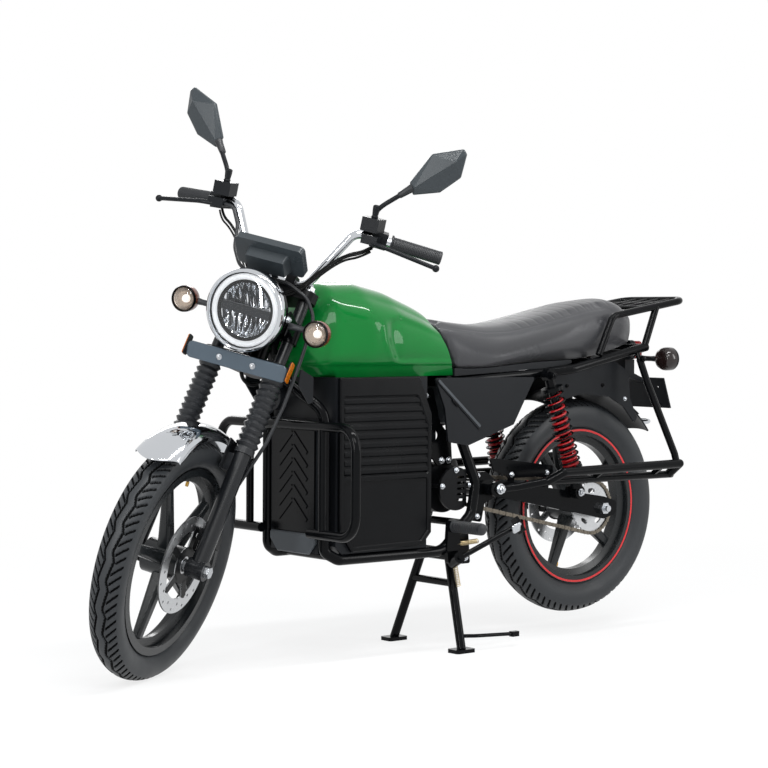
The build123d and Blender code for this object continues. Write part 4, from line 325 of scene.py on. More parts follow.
# Injection moulded ABS with a spark eroded skin: soft grey black
satin_abs = finish("satin_abs", "#191b1e", (0.28, 0.38), 1.2, 0.04, 0.12, 90, MUTED)
# Injection moulded ABS in slate grey: mirror shells and the instrument, with a satin sheen
slate_abs = finish("slate_abs", "#33393d", (0.26, 0.36), 1.2, 0.03, 0.12, 70, SHINY)
# Black hard-coated acrylic of the instrument screen: deep and glassy
screen_glass = finish("screen_glass", "#0b0f14", (0.03, 0.06), 9.0, 0.0, 0.1, 90)
# Polished ABS mouldings: piano black
gloss_abs = finish("gloss_abs", "#07080a", (0.06, 0.12), 6.0, 0.0, 0.1, 90, GLOSSY)
# Grey mica paint on moulded panels: slate with a soft shine
slate_paint = finish("slate_paint", "#4a4e52", (0.3, 0.38), 1.4, 0.02, 0.1, 90, MUTED)
# Zinc plated steel of axles, nuts and stand feet: bright with a bluish grey cast
zinc_plate = finish("zinc_plate", "#c3c6ca", (0.22, 0.34), 1.5, 0.01, 0.12, 20, METAL)
# Yellow passivated zinc on stand springs and small brackets: straw coloured
straw_zinc = finish("straw_zinc", "#d9c79e", (0.26, 0.38), 1.5, 0.01, 0.2, 14, METAL)
# Ground stainless steel of discs and sprocket: pale with a fine tooth
ground_steel = finish("ground_steel", "#c9cbcd", (0.24, 0.36), 0.7, 0.02, 0.1, 30, METAL)
# Rolled steel of the drive chain under a film of oil: warm grey
oiled_steel = finish("oiled_steel", "#7d766b", (0.3, 0.5), 2.0, 0.02, 0.35, 25, METAL)
# Red powder coat on spring wire: bright, slightly soft gloss
red_powder = finish("red_powder", "#b5121b", (0.24, 0.34), 2.0, 0.02, 0.1, 40)
# Red cellulose line on the rear rim
red_line = finish("red_line", "#cf1d22", (0.3, 0.36), 3.0, 0.0, 0.06, 40)
# Vacuum metallised reflectors: a bright mirror
mirror_coat = finish("mirror_coat", "#dfe2e6", (0.05, 0.1), 3.0, 0.0, 0.05, 30, METAL)
# Clear moulded polycarbonate: see-through, with only its mirrored sheen, stronger at a slant
clear_lens = finish("clear_lens", "#fbfdff", (0.01, 0.03), 8.0, 0.0, 0.01, 60, METAL)
sheen_share = put(clear_lens.node_tree, "Fresnel", {"IOR": 1.58})
clear_shader = clear_lens.node_tree.nodes["Principled BSDF"]
clear_lens.node_tree.links.new(sheen_share.outputs[0], clear_shader.inputs["Alpha"])
# Tinted acrylic lenses: light passes and comes back coloured
TINTED = {"Transmission Weight": 0.55, "IOR": 1.49}
red_lens = finish("red_lens", "#b00c12", (0.06, 0.12), 4.0, 0.02, 0.1, 40, TINTED)
amber_lens = finish("amber_lens", "#e98a12", (0.06, 0.12), 4.0, 0.02, 0.1, 40, TINTED)
# Opal polycarbonate of the lamp ring, lit from behind
OPAL = {"Emission Color": (1, 1, 1, 1), "Emission Strength": 0.2}
opal_ring = finish("opal_ring", "#f4f7fa", (0.2, 0.28), 6.0, 0.0, 0.03, 40, OPAL)
# Smoked brown polycarbonate of the indicators' barrels: dark, glossy, a warm glow at the edges
SMOKED = {"Transmission Weight": 0.3, "IOR": 1.58}
brown_smoke = finish("brown_smoke", "#7c3a22", (0.1, 0.16), 5.0, 0.0, 0.2, 30, SMOKED)
# Dark smoked polycarbonate of the rear barrels
dark_smoke = finish("dark_smoke", "#1c1312", (0.08, 0.14), 5.0, 0.0, 0.2, 30)
# Turned brass of the valve caps
turned_brass = finish("turned_brass", "#b6914a", (0.22, 0.3), 1.0, 0.01, 0.1, 10, METAL)
# Extruded PVC sleeving of the cables: black and slightly waxy
cable_pvc = finish("cable_pvc", "#0b0c0d", (0.3, 0.38), 2.0, 0.0, 0.1, 30, MUTED)
# Dark slate moulding of the bar across the headlamp: satin
bar_slate = finish("bar_slate", "#25292d", (0.3, 0.4), 1.4, 0.02, 0.1, 40, MUTED)
# Hot spot of a filament bulb's glass
LIT = {"Emission Color": (1, 0.97, 0.92, 1), "Emission Strength": 0.5}
bulb_glass = finish("bulb_glass", "#fbf7f0", (0.1, 0.2), 4.0, 0.0, 0.03, 20, LIT)
# Sputtered dish of the indicators: warm grey, half mirror
warm_dish = finish("warm_dish", "#b9aca0", (0.24, 0.34), 2.0, 0.0, 0.12, 16, {"Metallic": 0.6})
# Silvered glass of the mirrors
silvered_glass = finish("silvered_glass", "#dfe5ea", (0.01, 0.03), 9.0, 0.0, 0.02, 80, METAL)


def seat_leatherette():
    """Calendered PVC on knitted cloth: black, a soft pebble grain and a low sheen."""
    pebble_mm, depth_mm = 2.6, 0.25
    material = finish("leatherette", "#2c2d31", (0.34, 0.44), 1.2, 0.0, 0.16, 60)
    tree = material.node_tree
    shader = tree.nodes["Principled BSDF"]
    where = put(tree, "TexCoord").outputs["Object"]
    cells = {"Vector": where, "Scale": 1 / (pebble_mm * MM)}
    height = put(tree, "TexVoronoi", cells, feature="SMOOTH_F1").outputs["Distance"]
    pressing = {"Height": height, "Distance": depth_mm * MM, "Strength": 0.5}
    relief = put(tree, "Bump", pressing, invert=True)
    tree.links.new(relief.outputs[0], shader.inputs["Normal"])
    shader.inputs["Sheen Weight"].default_value = 0.15
    return material


leatherette = seat_leatherette()

NODE_FINISHES = {
    black_enamel: "main_frame seat_rails crash_guard swingarm rear_rack side_rails centre_stand "
    "side_stand shocks lamp_brackets chain_guard motor_hanger",
    satin_abs: "battery_case side_panels seat_base rear_mudguard tank_wings horn bar_controls "
    "plate_holder",
    cast_black: "motor motor_cover fork_yokes front_caliper rear_caliper",
    wheel_paint: "front_rim rear_rim",
    shell_abs: "battery_covers",
    slate_paint: "controller_box skid_panel",
    slate_abs: "display mirrors",
    green_lacquer: "tank",
    leatherette: "seat",
    zinc_plate: "rear_axle front_axle",
    ground_steel: "front_disc rear_disc sprocket",
    oiled_steel: "chain",
    red_powder: "shock_springs",
    fork_black: "fork_legs",
    moulded_rubber: "fork_gaiters grips footpegs brake_hose",
    tyre_rubber: "front_tyre rear_tyre",
    chrome_plate: "front_fender headlight_bezel handlebar tail_loop",
    gloss_abs: "headlight_shell plate_bar front_indicators rear_indicators",
    clear_lens: "headlight_lens",
    red_lens: "tail_lamp",
    amber_lens: "front_reflectors",
}
for node_finish, node_names in NODE_FINISHES.items():
    for node_name in node_names.split():
        node = frame["nodes"][node_name]
        node.data.materials.clear()
        node.data.materials.append(node_finish)


# Tyres: a smooth centre rib between two zigzag grooves, with slanted cuts out to the shoulders

TREAD_DEPTH = 6.0
TREAD_RADIUS = 295
ZIG_GROOVE = 4.6
# Zigzag groove: its place across from 0 to 1, its swing and the shares of rise and fall
ZIG_PLACE = 0.3
ZIG_SWING = 0.11
ZIG_RISE, ZIG_FALL = 0.68, 0.32
SIDE_GROOVE = 5.6
CUT_SLANT = 1.8
# How far a face lies in a groove before it takes the darker groove finish of dirt and painted shade
GROOVE_SHARE = 0.3
WHEELS = {
    # body: (centre, radius, width, bead seat radius, rim width, zigzags, cuts to a zigzag)
    "front_wheel": (FRONT_AXLE, 300, 80, 218, 58, 27, 3),
    "rear_wheel": (REAR_AXLE, 300, 100, 203, 74, 26, 3),
}
RIM_WALL = 5.0
RIM_FLANGE = 14.0
BEAD_GAP = 0.5


def circle_through(first, middle, last, steps):
    """(x, y) points of the arc through three points."""
    (ax, ay), (bx, by), (cx, cy) = first, middle, last
    d = 2 * (ax * (by - cy) + bx * (cy - ay) + cx * (ay - by))
    a2, b2, c2 = ax**2 + ay**2, bx**2 + by**2, cx**2 + cy**2
    x = (a2 * (by - cy) + b2 * (cy - ay) + c2 * (ay - by)) / d
    y = (a2 * (cx - bx) + b2 * (ax - cx) + c2 * (bx - ax)) / d
    radius = math.hypot(ax - x, ay - y)
    start, mid, end = (math.atan2(p[1] - y, p[0] - x) for p in (first, middle, last))
    mid = start + math.remainder(mid - start, 2 * math.pi)
    end = mid + math.remainder(end - mid, 2 * math.pi)
    return arc((x, y), radius, math.degrees(start), math.degrees(end), steps)


def tread_cut(turn, across, zigzags, cuts, width):
    """How far the tread is cut, from 0 to 1, at an angle and a place across from -1 to 1."""
    share = turn / (2 * math.pi) * zigzags
    ramp = share % 1
    wave = 2 * np.minimum(ramp / ZIG_RISE, (1 - ramp) / ZIG_FALL) - 1
    reach = np.abs(across)
    zig_centre = ZIG_PLACE + ZIG_SWING * wave * np.sign(across)
    off_zig = np.abs(reach - zig_centre) * width / 2
    zig = 1 - eased(off_zig, ZIG_GROOVE * 0.3, ZIG_GROOVE * 0.75)
    pitch = 2 * math.pi * TREAD_RADIUS / (zigzags * cuts)
    slant = share * cuts - CUT_SLANT * reach + 0.5 * (across > 0)
    off_centre = np.abs((slant % 1) - 0.5) * pitch
    cut = 1 - eased(off_centre, SIDE_GROOVE * 0.3, SIDE_GROOVE * 0.72)
    cut = cut * eased(reach, zig_centre + 0.1, zig_centre + 0.17) * (1 - eased(reach, 0.93, 1.0))
    return np.maximum(zig, cut)


def tyre_pieces():
    for body, (centre, radius, width, seat, rim_width, zigzags, cuts) in WHEELS.items():
        half = width / 2
        bead = rim_width / 2 - RIM_WALL - BEAD_GAP
        inner = seat + BEAD_GAP
        belly = (radius + inner) / 2
        edge, shoulder = half * 0.92, radius - width * 0.2
        crown = circle_through((edge, shoulder), (0, radius), (-edge, shoulder), 53)
        wall = circle_through((bead, inner + RIM_FLANGE), (half, belly), (edge, shoulder), 15)[:-1]
        other = wall[::-1] * (-1, 1)
        profile = np.vstack([[(bead, inner)], wall, crown, other, [(-bead, inner)]])
        cut_rows = np.arange(1 + len(wall), 1 + len(wall) + len(crown))
        steps = zigzags * cuts * 10
        turn = np.linspace(0, 2 * math.pi, steps, endpoint=False)
        depth = np.zeros((len(profile), steps))
        depth[cut_rows] = tread_cut(turn[None, :], crown[:, :1] / edge, zigzags, cuts, width)
        radii = profile[:, 1:] - TREAD_DEPTH * depth
        rings = 0.7 * np.exp(-((profile[:, 1] - (inner + RIM_FLANGE + 7)) / 2.2) ** 2)
        places = profile[:, 0] + np.sign(profile[:, 0]) * rings
        places = np.repeat(places[:, None], steps, 1)
        points = np.stack([radii * np.cos(turn), places, radii * np.sin(turn)], 2).reshape(-1, 3)
        part = points, grid_faces(len(profile), steps, False, True)
        name = body.replace("wheel", "tyre")
        at = Matrix.Translation(centre)
        obj = piece(name + "_tread", part, body, tyre_rubber, at, [name], 50)
        # Faces deep in the grooves take a darker finish: dirt and painted shade in the recesses
        obj.data.materials.append(groove_dirt_and_shade)
        corners = depth[:-1] + depth[1:]
        shares = (corners + np.roll(corners, -1, 1)) / 4
        dirt_and_shade_faces = (shares > GROOVE_SHARE).astype(np.int32)
        obj.data.polygons.foreach_set("material_index", dirt_and_shade_faces.ravel())


# Drive chain: side plates and rollers at each pitch round the two sprockets

CHAIN_Y = 84.0
CHAIN_PITCH = 12.7
DRIVE = (-130.0, 427.0)
REAR_PITCH_R = 72.86
DRIVE_PITCH_R = 32.55
PLATE_T = 1.5
PLATE_INSIDE = (3.9, 5.6)
PIN_R, ROLLER_R = 2.6, 4.3
PIN_HALF, ROLLER_HALF = 7.8, 3.6


def chain_loop():
    """Roller places round the loop, evenly spaced."""
    rear = np.array((REAR_AXLE.x, REAR_AXLE.z))
    drive = np.array(DRIVE)
    run = drive - rear
    reach = np.linalg.norm(run)
    lean = math.degrees(math.atan2(run[1], run[0]))
    spread = math.degrees(math.acos((REAR_PITCH_R - DRIVE_PITCH_R) / reach))
    rear_arc = arc(rear, REAR_PITCH_R, lean + spread, lean + 360 - spread, 400)
    drive_arc = arc(drive, DRIVE_PITCH_R, lean - spread, lean + spread, 200)
    loop = np.vstack([rear_arc, drive_arc, rear_arc[:1]])
    steps = np.linalg.norm(np.diff(loop, axis=0), axis=1)
    length = np.concatenate([[0], np.cumsum(steps)])
    count = 2 * round(length[-1] / CHAIN_PITCH / 2)
    marks = np.arange(count) * length[-1] / count
    return np.stack([np.interp(marks, length, loop[:, axis]) for axis in (0, 1)], 1)


def link_outline(length, height, waist):
    """Side plate with round ends and a waist."""
    right = arc((length / 2, 0), height / 2, -65, 65, 7)
    left = arc((-length / 2, 0), height / 2, 115, 245, 7)
    return np.vstack([right, [(0, waist / 2)], left, [(0, -waist / 2)]])


def chain_piece():
    pins = chain_loop()
    outline = link_outline(CHAIN_PITCH, 11.6, 8.2)
    end = [(0, -PIN_HALF), (PIN_R, -PIN_HALF), (PIN_R, -ROLLER_HALF), (ROLLER_R, -ROLLER_HALF)]
    roller = lathe(end + [(radius, -height) for radius, height in end[::-1]], 12)
    parts = []
    for index, pin in enumerate(pins):
        after = pins[(index + 1) % len(pins)]
        lean = math.atan2(after[1] - pin[1], after[0] - pin[0])
        middle = (pin + after) / 2
        place = Matrix.Translation((middle[0], CHAIN_Y, middle[1]))
        place = place @ Matrix.Rotation(-lean, 4, "Y") @ Matrix.Rotation(math.pi / 2, 4, "X")
        inside = PLATE_INSIDE[index % 2]
        for low in (inside, -inside - PLATE_T):
            parts.append(placed(prism(outline, low, low + PLATE_T), place))
        parts.append(placed(roller, standing((pin[0], CHAIN_Y, pin[1]), ACROSS)))
    links = joined(*parts)
    piece("drive_chain", links, "frame", oiled_steel, AHEAD, ["chain"], 30)


# Shock absorbers: a black outer coil round a red inner coil that closes up towards its foot

SHOCK_TOP = (-440, 130, 722)
SHOCK_FOOT = (-533, 151, 402)
SPRING_LOW = 74.0
SPRING_TOP_ROOM = 44.0


def coil(radius, wire, turns, low, high, crowd):
    """A coil about Z whose pitch closes towards its foot as crowd grows."""
    t = np.linspace(0, 1, int(turns * 28))
    height = low + (high - low) * t**crowd
    turn = t * turns * 2 * math.pi
    path = np.stack([radius * np.cos(turn), radius * np.sin(turn), height], 1)
    return sweep(path, wire / 2, 10)


def shock_coils():
    for side, name in SIDES:
        foot = on_side(SHOCK_FOOT, side)
        run = on_side(SHOCK_TOP, side) - foot
        at = standing(foot, run)
        high = run.length - SPRING_TOP_ROOM
        outer = coil(26.5, 5.5, 11.5, SPRING_LOW + 3, high - 3, 1.12)
        inner = coil(19.5, 7.5, 15.5, SPRING_LOW + 4, high - 4, 1.45)
        solids = once(side, "shock_springs")
        piece("shock_outer_coil_" + name, outer, "frame", black_enamel, at)
        piece("shock_inner_coil_" + name, inner, "frame", red_powder, at, solids)


# Lofts of tank and seat, whose ends slant

SLANT_PASSES = 6


def slanted(edge, height):
    """x of a slanted end at a height."""
    (low_x, low_z), (high_x, high_z) = edge
    return low_x + (high_x - low_x) * (height - low_z) / (high_z - low_z)


def half_loft(table, places, fairing, section, ends, rows, guess):
    """Rows of section points, each column spread evenly between the two ends at its own height."""
    fair = faired(table, places, *fairing)
    share = np.linspace(0, 1, rows)
    columns = len(section(fair[0]))
    points = np.zeros((rows, columns, 3))
    for column in range(columns):
        x = np.interp(share, (0, 1), guess)
        for _ in range(SLANT_PASSES):
            rowed = np.stack([np.interp(x, places, values) for values in fair.T], 1)
            outline = np.array([section(row)[column] for row in rowed])
            first, last = ends(outline[:, 1])
            x = first + (last - first) * share
        points[:, column] = np.stack([x, outline[:, 0], outline[:, 1]], 1)
    return points


def both_halves(points):
    """Parts of a half loft, its reflection and a face at each end."""
    rows, columns = points.shape[:2]
    left = points.reshape(-1, 3)
    faces = grid_faces(rows, columns, False, False)
    parts = [(left, faces), (left * OTHER_SIDE, faces)]
    for row in (points[0], points[-1]):
        rim = np.vstack([row, row[::-1][1:] * OTHER_SIDE])
        parts.append((rim, [tuple(range(len(rim)))]))
    return parts


# Tank: pressed shell with a crease along each shoulder and a scoop for the knee

TANK_FLOOR = 725.3
TANK_SECTIONS = (
    # x, half floor, half belly, belly height, half shoulder, shoulder height, crown height
    (384, 30, 56, 772, 40, 792, 800),
    (333, 70, 98, 796, 70, 868, 888),
    (282, 96, 130, 806, 92, 928, 962),
    (180, 110, 150, 812, 98, 928, 966),
    (78, 110, 148, 808, 96, 905, 945),
    (-24, 104, 130, 798, 86, 872, 908),
    (-126, 96, 110, 780, 74, 830, 862),
)
TANK_REAR, TANK_FRONT = -126, 384
TANK_NOSE = ((362, 728), (392, 826))
TANK_TAIL = ((-127, 727), (-44, 890))
TANK_ROWS = 181
TANK_STEPS = 24
FLANGE_TOP = 752.0
FLANGE_IN = 9.0
# Passes of averaging round a section, which round the pressed edges
EDGE_PASSES = 2
# Edge of the knee scoop, behind which the flank drops away: furthest x, its height and how it bends
SCOOP_EDGE = (146, 835, 0.0064)
# Upper end of the scoop: x and height
SCOOP_TOP = ((-80, 826), (12, 856), (81, 874), (125, 866))
SCOOP_DEPTH = 11.0
SCOOP_RIDGE = 1.6
# Crease where the flank turns in towards the nose: height and x
NOSE_CREASE = ((728, 268), (758, 319), (797, 350), (815, 376))
NOSE_TURN = 0.75


def tank_section(row):
    """(y, z) points of half a section: flange, belly, shoulder and crown."""
    floor, belly, belly_z, shoulder, shoulder_z, crown = row
    lip = floor + 0.38 * (belly - floor)
    pull_z = belly_z + 0.62 * (shoulder_z - belly_z)
    flange = np.linspace((lip - FLANGE_IN, TANK_FLOOR), (lip, FLANGE_TOP), 5)
    low = bezier((lip, FLANGE_TOP), (belly, FLANGE_TOP + 12), (belly, belly_z), TANK_STEPS)
    side = bezier((belly, belly_z), (belly, pull_z), (shoulder, shoulder_z), TANK_STEPS)
    top = bezier((shoulder, shoulder_z), (shoulder * 0.7, crown), (0, crown), TANK_STEPS)
    return np.vstack([flange[:-1], low[:-1], side[:-1], top])


def tank_ends(height):
    """x of the tail and of the nose at a height."""
    return slanted(TANK_TAIL, height), np.minimum(slanted(TANK_NOSE, height), TANK_FRONT)


def pressed(x, y, z):
    """y of the flank with the knee scoop pressed in and the nose turned inwards."""
    edge = SCOOP_EDGE[0] - SCOOP_EDGE[2] * (z - SCOOP_EDGE[1]) ** 2
    top = np.interp(x, *np.array(SCOOP_TOP, float).T)
    behind = edge - x
    depth = SCOOP_DEPTH * eased(behind, 0, 34) * (1 - 0.55 * eased(behind, 40, 230))
    ridge = SCOOP_RIDGE * np.exp(-((behind + 4) / 9) ** 2)
    window = eased(z, FLANGE_TOP + 2, FLANGE_TOP + 22) * (1 - eased(z, top - 8, top + 8))
    ahead = np.maximum(0, x - np.interp(z, *np.array(NOSE_CREASE, float).T))
    fade = 1 - eased(z, 800, 850)
    return y - (depth - ridge) * window - NOSE_TURN * ahead * fade


def tank_piece():
    places = np.linspace(TANK_REAR, TANK_FRONT, 256)
    points = half_loft(
        TANK_SECTIONS, places, (2, 13), tank_section, tank_ends, TANK_ROWS, (-80, 380)
    )
    points[..., 1] = np.maximum(pressed(points[..., 0], points[..., 1], points[..., 2]), 0.0)
    for _ in range(EDGE_PASSES):
        points[:, 1:-1] = (points[:, :-2] + 2 * points[:, 1:-1] + points[:, 2:]) / 4
    base = np.vstack([points[:, 0], points[::-1, 0] * OTHER_SIDE])
    shell = joined(*both_halves(points), (base, [tuple(range(len(base)))]))
    piece("tank_shell", shell, "frame", green_lacquer, AHEAD, ["tank"], 60)


# Seat: one stretched cover on foam, low for the rider and raised for the passenger

SEAT_SECTIONS = (
    # x, half floor, half width, floor height, side height, crown height
    (-20, 84, 84, 744, 850, 888),
    (-130, 96, 108, 744, 836, 868),
    (-240, 104, 122, 744, 826, 858),
    (-330, 94, 123, 750, 830, 862),
    (-430, 82, 122, 758, 848, 880),
    (-620, 84, 114, 766, 884, 922),
    (-760, 84, 98, 794, 898, 938),
    (-822, 66, 74, 810, 872, 900),
)
SEAT_FRONT = ((-135, 744), (-52, 888))
SEAT_REAR = -822
SEAT_ROWS = 121
SEAT_STEPS = 12
SEAT_SHRINK = 5.0
SEAT_SWELL = 5.0
SEAT_VOXEL = 5.5
# Height below which the cover is held on its base: x and height
SEAT_HOLD = ((-822, 816), (-760, 800), (-620, 772), (-430, 764), (-240, 750))
SWELL_PRESSURE = 4.0
SWELL_FRAMES = 20
# Sewn channels across the passenger's part, and the seam along each edge
SEAM_IN = 20.0
SEAM_DEPTH = 1.1
CHANNEL_PITCH = 32.0
CHANNEL_DEPTH = 0.9


def seat_section(row):
    """(y, z) points of half a section from the middle of the floor round the side to the crown."""
    floor_half, half, floor, side, crown = row
    half -= SEAT_SHRINK
    crown -= SEAT_SHRINK
    base = np.linspace((0, floor), (floor_half - SEAT_SHRINK, floor), SEAT_STEPS)
    wall = bezier(base[-1], (half + 6, floor + 0.45 * (side - floor)), (half, side), SEAT_STEPS)
    top = bezier((half, side), (half * 0.9, crown), (0, crown), SEAT_STEPS)
    return np.vstack([base[:-1], wall[:-1], top])


def seat_ends(height):
    """x of the rear and of the front at a height, a little inside the finished seat."""
    return SEAT_REAR + SEAT_SHRINK, slanted(SEAT_FRONT, height) - SEAT_SHRINK


def settle(obj):
    """Applies the object's modifiers to its mesh."""
    view = bpy.context.evaluated_depsgraph_get()
    mesh = bpy.data.meshes.new_from_object(obj.evaluated_get(view))
    obj.modifiers.clear()
    obj.data = mesh


def inflate(obj):
    """The cover held at its base and blown up a little against its own stretch."""
    before = np.array([vertex.co for vertex in obj.data.vertices])
    held = obj.vertex_groups.new(name="base")
    hold_x, hold_z = np.array(SEAT_HOLD).T / 1000
    low = before[:, 2] < np.interp(before[:, 0], hold_x, hold_z)
    held.add(np.flatnonzero(low).tolist(), 1.0, "REPLACE")
    cloth = obj.modifiers.new("cover", "CLOTH")
    cloth.settings.vertex_group_mass = "base"
    cloth.settings.use_pressure = True
    cloth.settings.uniform_pressure_force = SWELL_PRESSURE
    cloth.settings.effector_weights.gravity = 0.0
    scene = bpy.context.scene
    for number in range(1, SWELL_FRAMES + 1):
        scene.frame_set(number)
    view = bpy.context.evaluated_depsgraph_get()
    blown = np.array([vertex.co for vertex in obj.evaluated_get(view).data.vertices])
    scene.frame_set(1)
    obj.modifiers.clear()
    move = blown - before
    reach = np.linalg.norm(move, axis=1)[:, None]
    move *= np.minimum(1, SEAT_SWELL * MM / np.maximum(reach, 1e-9))
    obj.data.vertices.foreach_set("co", (before + move).ravel())
    obj.data.update()


def sew(obj):
    """Presses channels across the passenger's part and a seam along each edge."""
    count = len(obj.data.vertices)
    points = np.empty(3 * count)
    facing = np.empty(3 * count)
    obj.data.vertices.foreach_get("co", points)
    obj.data.vertices.foreach_get("normal", facing)
    points = points.reshape(-1, 3)
    x, y = points[:, 0] / MM, np.abs(points[:, 1]) / MM
    table = np.array(sorted(SEAT_SECTIONS), float)
    half = np.interp(x, table[:, 0], table[:, 2]) - SEAM_IN
    on_top = eased(facing.reshape(-1, 3)[:, 2], 0.6, 0.85)
    field = eased(x, -780, -760) * (1 - eased(x, -350, -330)) * (1 - eased(y, half - 8, half - 2))
    channel = np.exp(-(((x % CHANNEL_PITCH) - CHANNEL_PITCH / 2) / 4.0) ** 2) * field
    seam = np.exp(-((y - half) / 3.0) ** 2) * eased(x, -800, -780)
    points[:, 2] -= MM * on_top * (CHANNEL_DEPTH * channel + SEAM_DEPTH * seam)
    obj.data.vertices.foreach_set("co", points.ravel())
    obj.data.update()


def seat_piece():
    places = np.linspace(SEAT_REAR, -20, 400)
    points = half_loft(
        SEAT_SECTIONS, places, (3, 21), seat_section, seat_ends, SEAT_ROWS, (SEAT_REAR, -60)
    )
    shape = joined(*both_halves(points))
    obj = piece("seat_cover", shape, "frame", leatherette, AHEAD, ["seat"], 60)
    remesh = obj.modifiers.new("skin", "REMESH")
    remesh.mode = "VOXEL"
    remesh.voxel_size = SEAT_VOXEL * MM
    settle(obj)
    inflate(obj)
    rounding = obj.modifiers.new("rounding", "SUBSURF")
    rounding.levels = 1
    rounding.render_levels = 1
    settle(obj)
    sew(obj)
    obj.data.shade_smooth()


# Headlamp: chrome bezel, opal ring and a fluted mirror split by a dark bar

LAMP = (570, 0, 902)
BEZEL = (
    (94.3, -26), (101, -26), (102.8, -16), (102.8, -6), (100, 3),
    (96, 6), (93.6, 5), (92.4, 1), (92.4, -13.7),
)
REFLECTOR_R = 68.0
REFLECTOR_DEPTH = 34
RING_IN = 75.0
RING_OUT = 90.0
LENS_PROFILE = ((92, -2), (88, 0.6), (74, 3.8), (56, 6.6), (36, 8.8), (18, 9.8), (0, 10))
BAR_SPREAD = 9


def reflector():
    """Dished mirror with upright flutes; Z is ahead and Y upright."""
    rings = np.linspace(5, REFLECTOR_R, 30)
    steps = 180
    turn = np.linspace(0, 2 * math.pi, steps, endpoint=False)
    x = np.outer(rings, np.cos(turn))
    y = np.outer(rings, np.sin(turn))
    out = (x**2 + y**2) / REFLECTOR_R**2
    flutes = 6.0 * np.abs(np.sin(math.pi * x / 17)) + 2.5 * np.sin(math.pi * x / 7.3 + y / 9)
    z = -48 + REFLECTOR_DEPTH * out + flutes * (1 - out**4)
    faces = grid_faces(len(rings), steps, False, True)
    faces.append(tuple(range(steps)))
    return np.stack([x, y, z], 2).reshape(-1, 3), faces


def lamp_pieces():
    at = standing(LAMP, (1, 0, 0))
    bezel = lathe(BEZEL, 128, True)
    lens = lathe(LENS_PROFILE, 96)
    ring = lathe([
        (RING_IN, -14), (RING_IN, -7), (RING_IN + 4, -4.5),
        (RING_OUT - 5, -4.5), (RING_OUT, -8), (RING_OUT, -14),
    ], 96, True)
    low, high = REFLECTOR_R - 1, RING_IN - 0.4
    inside = lathe([(low, -20), (low, -9), (high, -6), (high, -20)], 96, True)
    low, high = RING_OUT + 0.3, 92
    outside = lathe([(low, -18), (low, -5), (high, -4), (high, -18)], 96, True)
    end = arc((0, 0), REFLECTOR_R - 0.5, -BAR_SPREAD, BAR_SPREAD, 9)
    bar = prism(np.vstack([end, -end]), -26, -9)
    piece("lamp_mirror", reflector(), "steering", mirror_coat, at, crease=30)
    piece("lamp_bezel", bezel, "steering", chrome_plate, at, ["headlight_bezel"], 50)
    piece("lamp_lens", lens, "steering", clear_lens, at, ["headlight_lens"])
    piece("lamp_opal_ring", ring, "steering", opal_ring, at)
    piece("lamp_dark_rims", joined(inside, outside), "steering", gloss_abs, at)
    piece("lamp_bar", bar, "steering", bar_slate, at, bevel=2.0)


# Indicators: smoked barrel, dark rim, mirror dish with its bulb, clear domed lens

WINKERS = {
    # name: (body, centre, way it faces, inner end of its stem)
    "front_left": ("steering", (520, 182, 885), 1, 102.3),
    "front_right": ("steering", (520, -182, 885), 1, -102.3),
    "rear_left": ("frame", (-874, 158, 764), -1, 60.3),
    "rear_right": ("frame", (-874, -158, 764), -1, -60.3),
}
WINKER_STEM = (9, 8, 7.4, 7.4, 8.6, 10)
BARREL = ((0, -23), (20, -22.4), (28, -18), (32, -9), (33, 2), (33, 11), (31, 11))
RIM = ((29, 11.2), (32.6, 11.2), (32.6, 17), (31.4, 19), (29.8, 19), (29, 15))
DISH = ((0, -8), (8, -7), (14, -3), (19, 4), (21, 9), (24, 10.5), (25, 13), (28.8, 14))
DOME = ((29.2, 15), (27, 18.4), (20, 20.8), (10, 22.2), (0, 22.6))
BULB = ((0, 11), (6.5, 9.6), (10, 5), (10.5, -2), (0, -5.5))


def winker_pieces():
    for name, (body, centre, way, stem_in) in WINKERS.items():
        x, y, z = centre
        at = standing(centre, (way, 0, 0))
        node = once(y, name.split("_")[0] + "_indicators")
        run = np.linspace(stem_in, y - math.copysign(20, y), len(WINKER_STEM))
        stem = sweep([(x - 6 * way, place, z) for place in run], WINKER_STEM, 18)
        smoke = brown_smoke if way > 0 else dark_smoke
        piece("winker_stem_" + name, stem, body, moulded_rubber)
        piece("winker_barrel_" + name, lathe(BARREL, 48), body, smoke, at, node)
        piece("winker_rim_" + name, lathe(RIM, 48, True), body, gloss_abs, at)
        piece("winker_dish_" + name, lathe(DISH, 48), body, warm_dish, at, crease=25)
        piece("winker_bulb_" + name, lathe(BULB, 20), body, bulb_glass, at)
        piece("winker_lens_" + name, lathe(DOME, 48), body, clear_lens, at)


# Bolts: a washer, a hexagon head with a turned top and the end of its stud, by the row

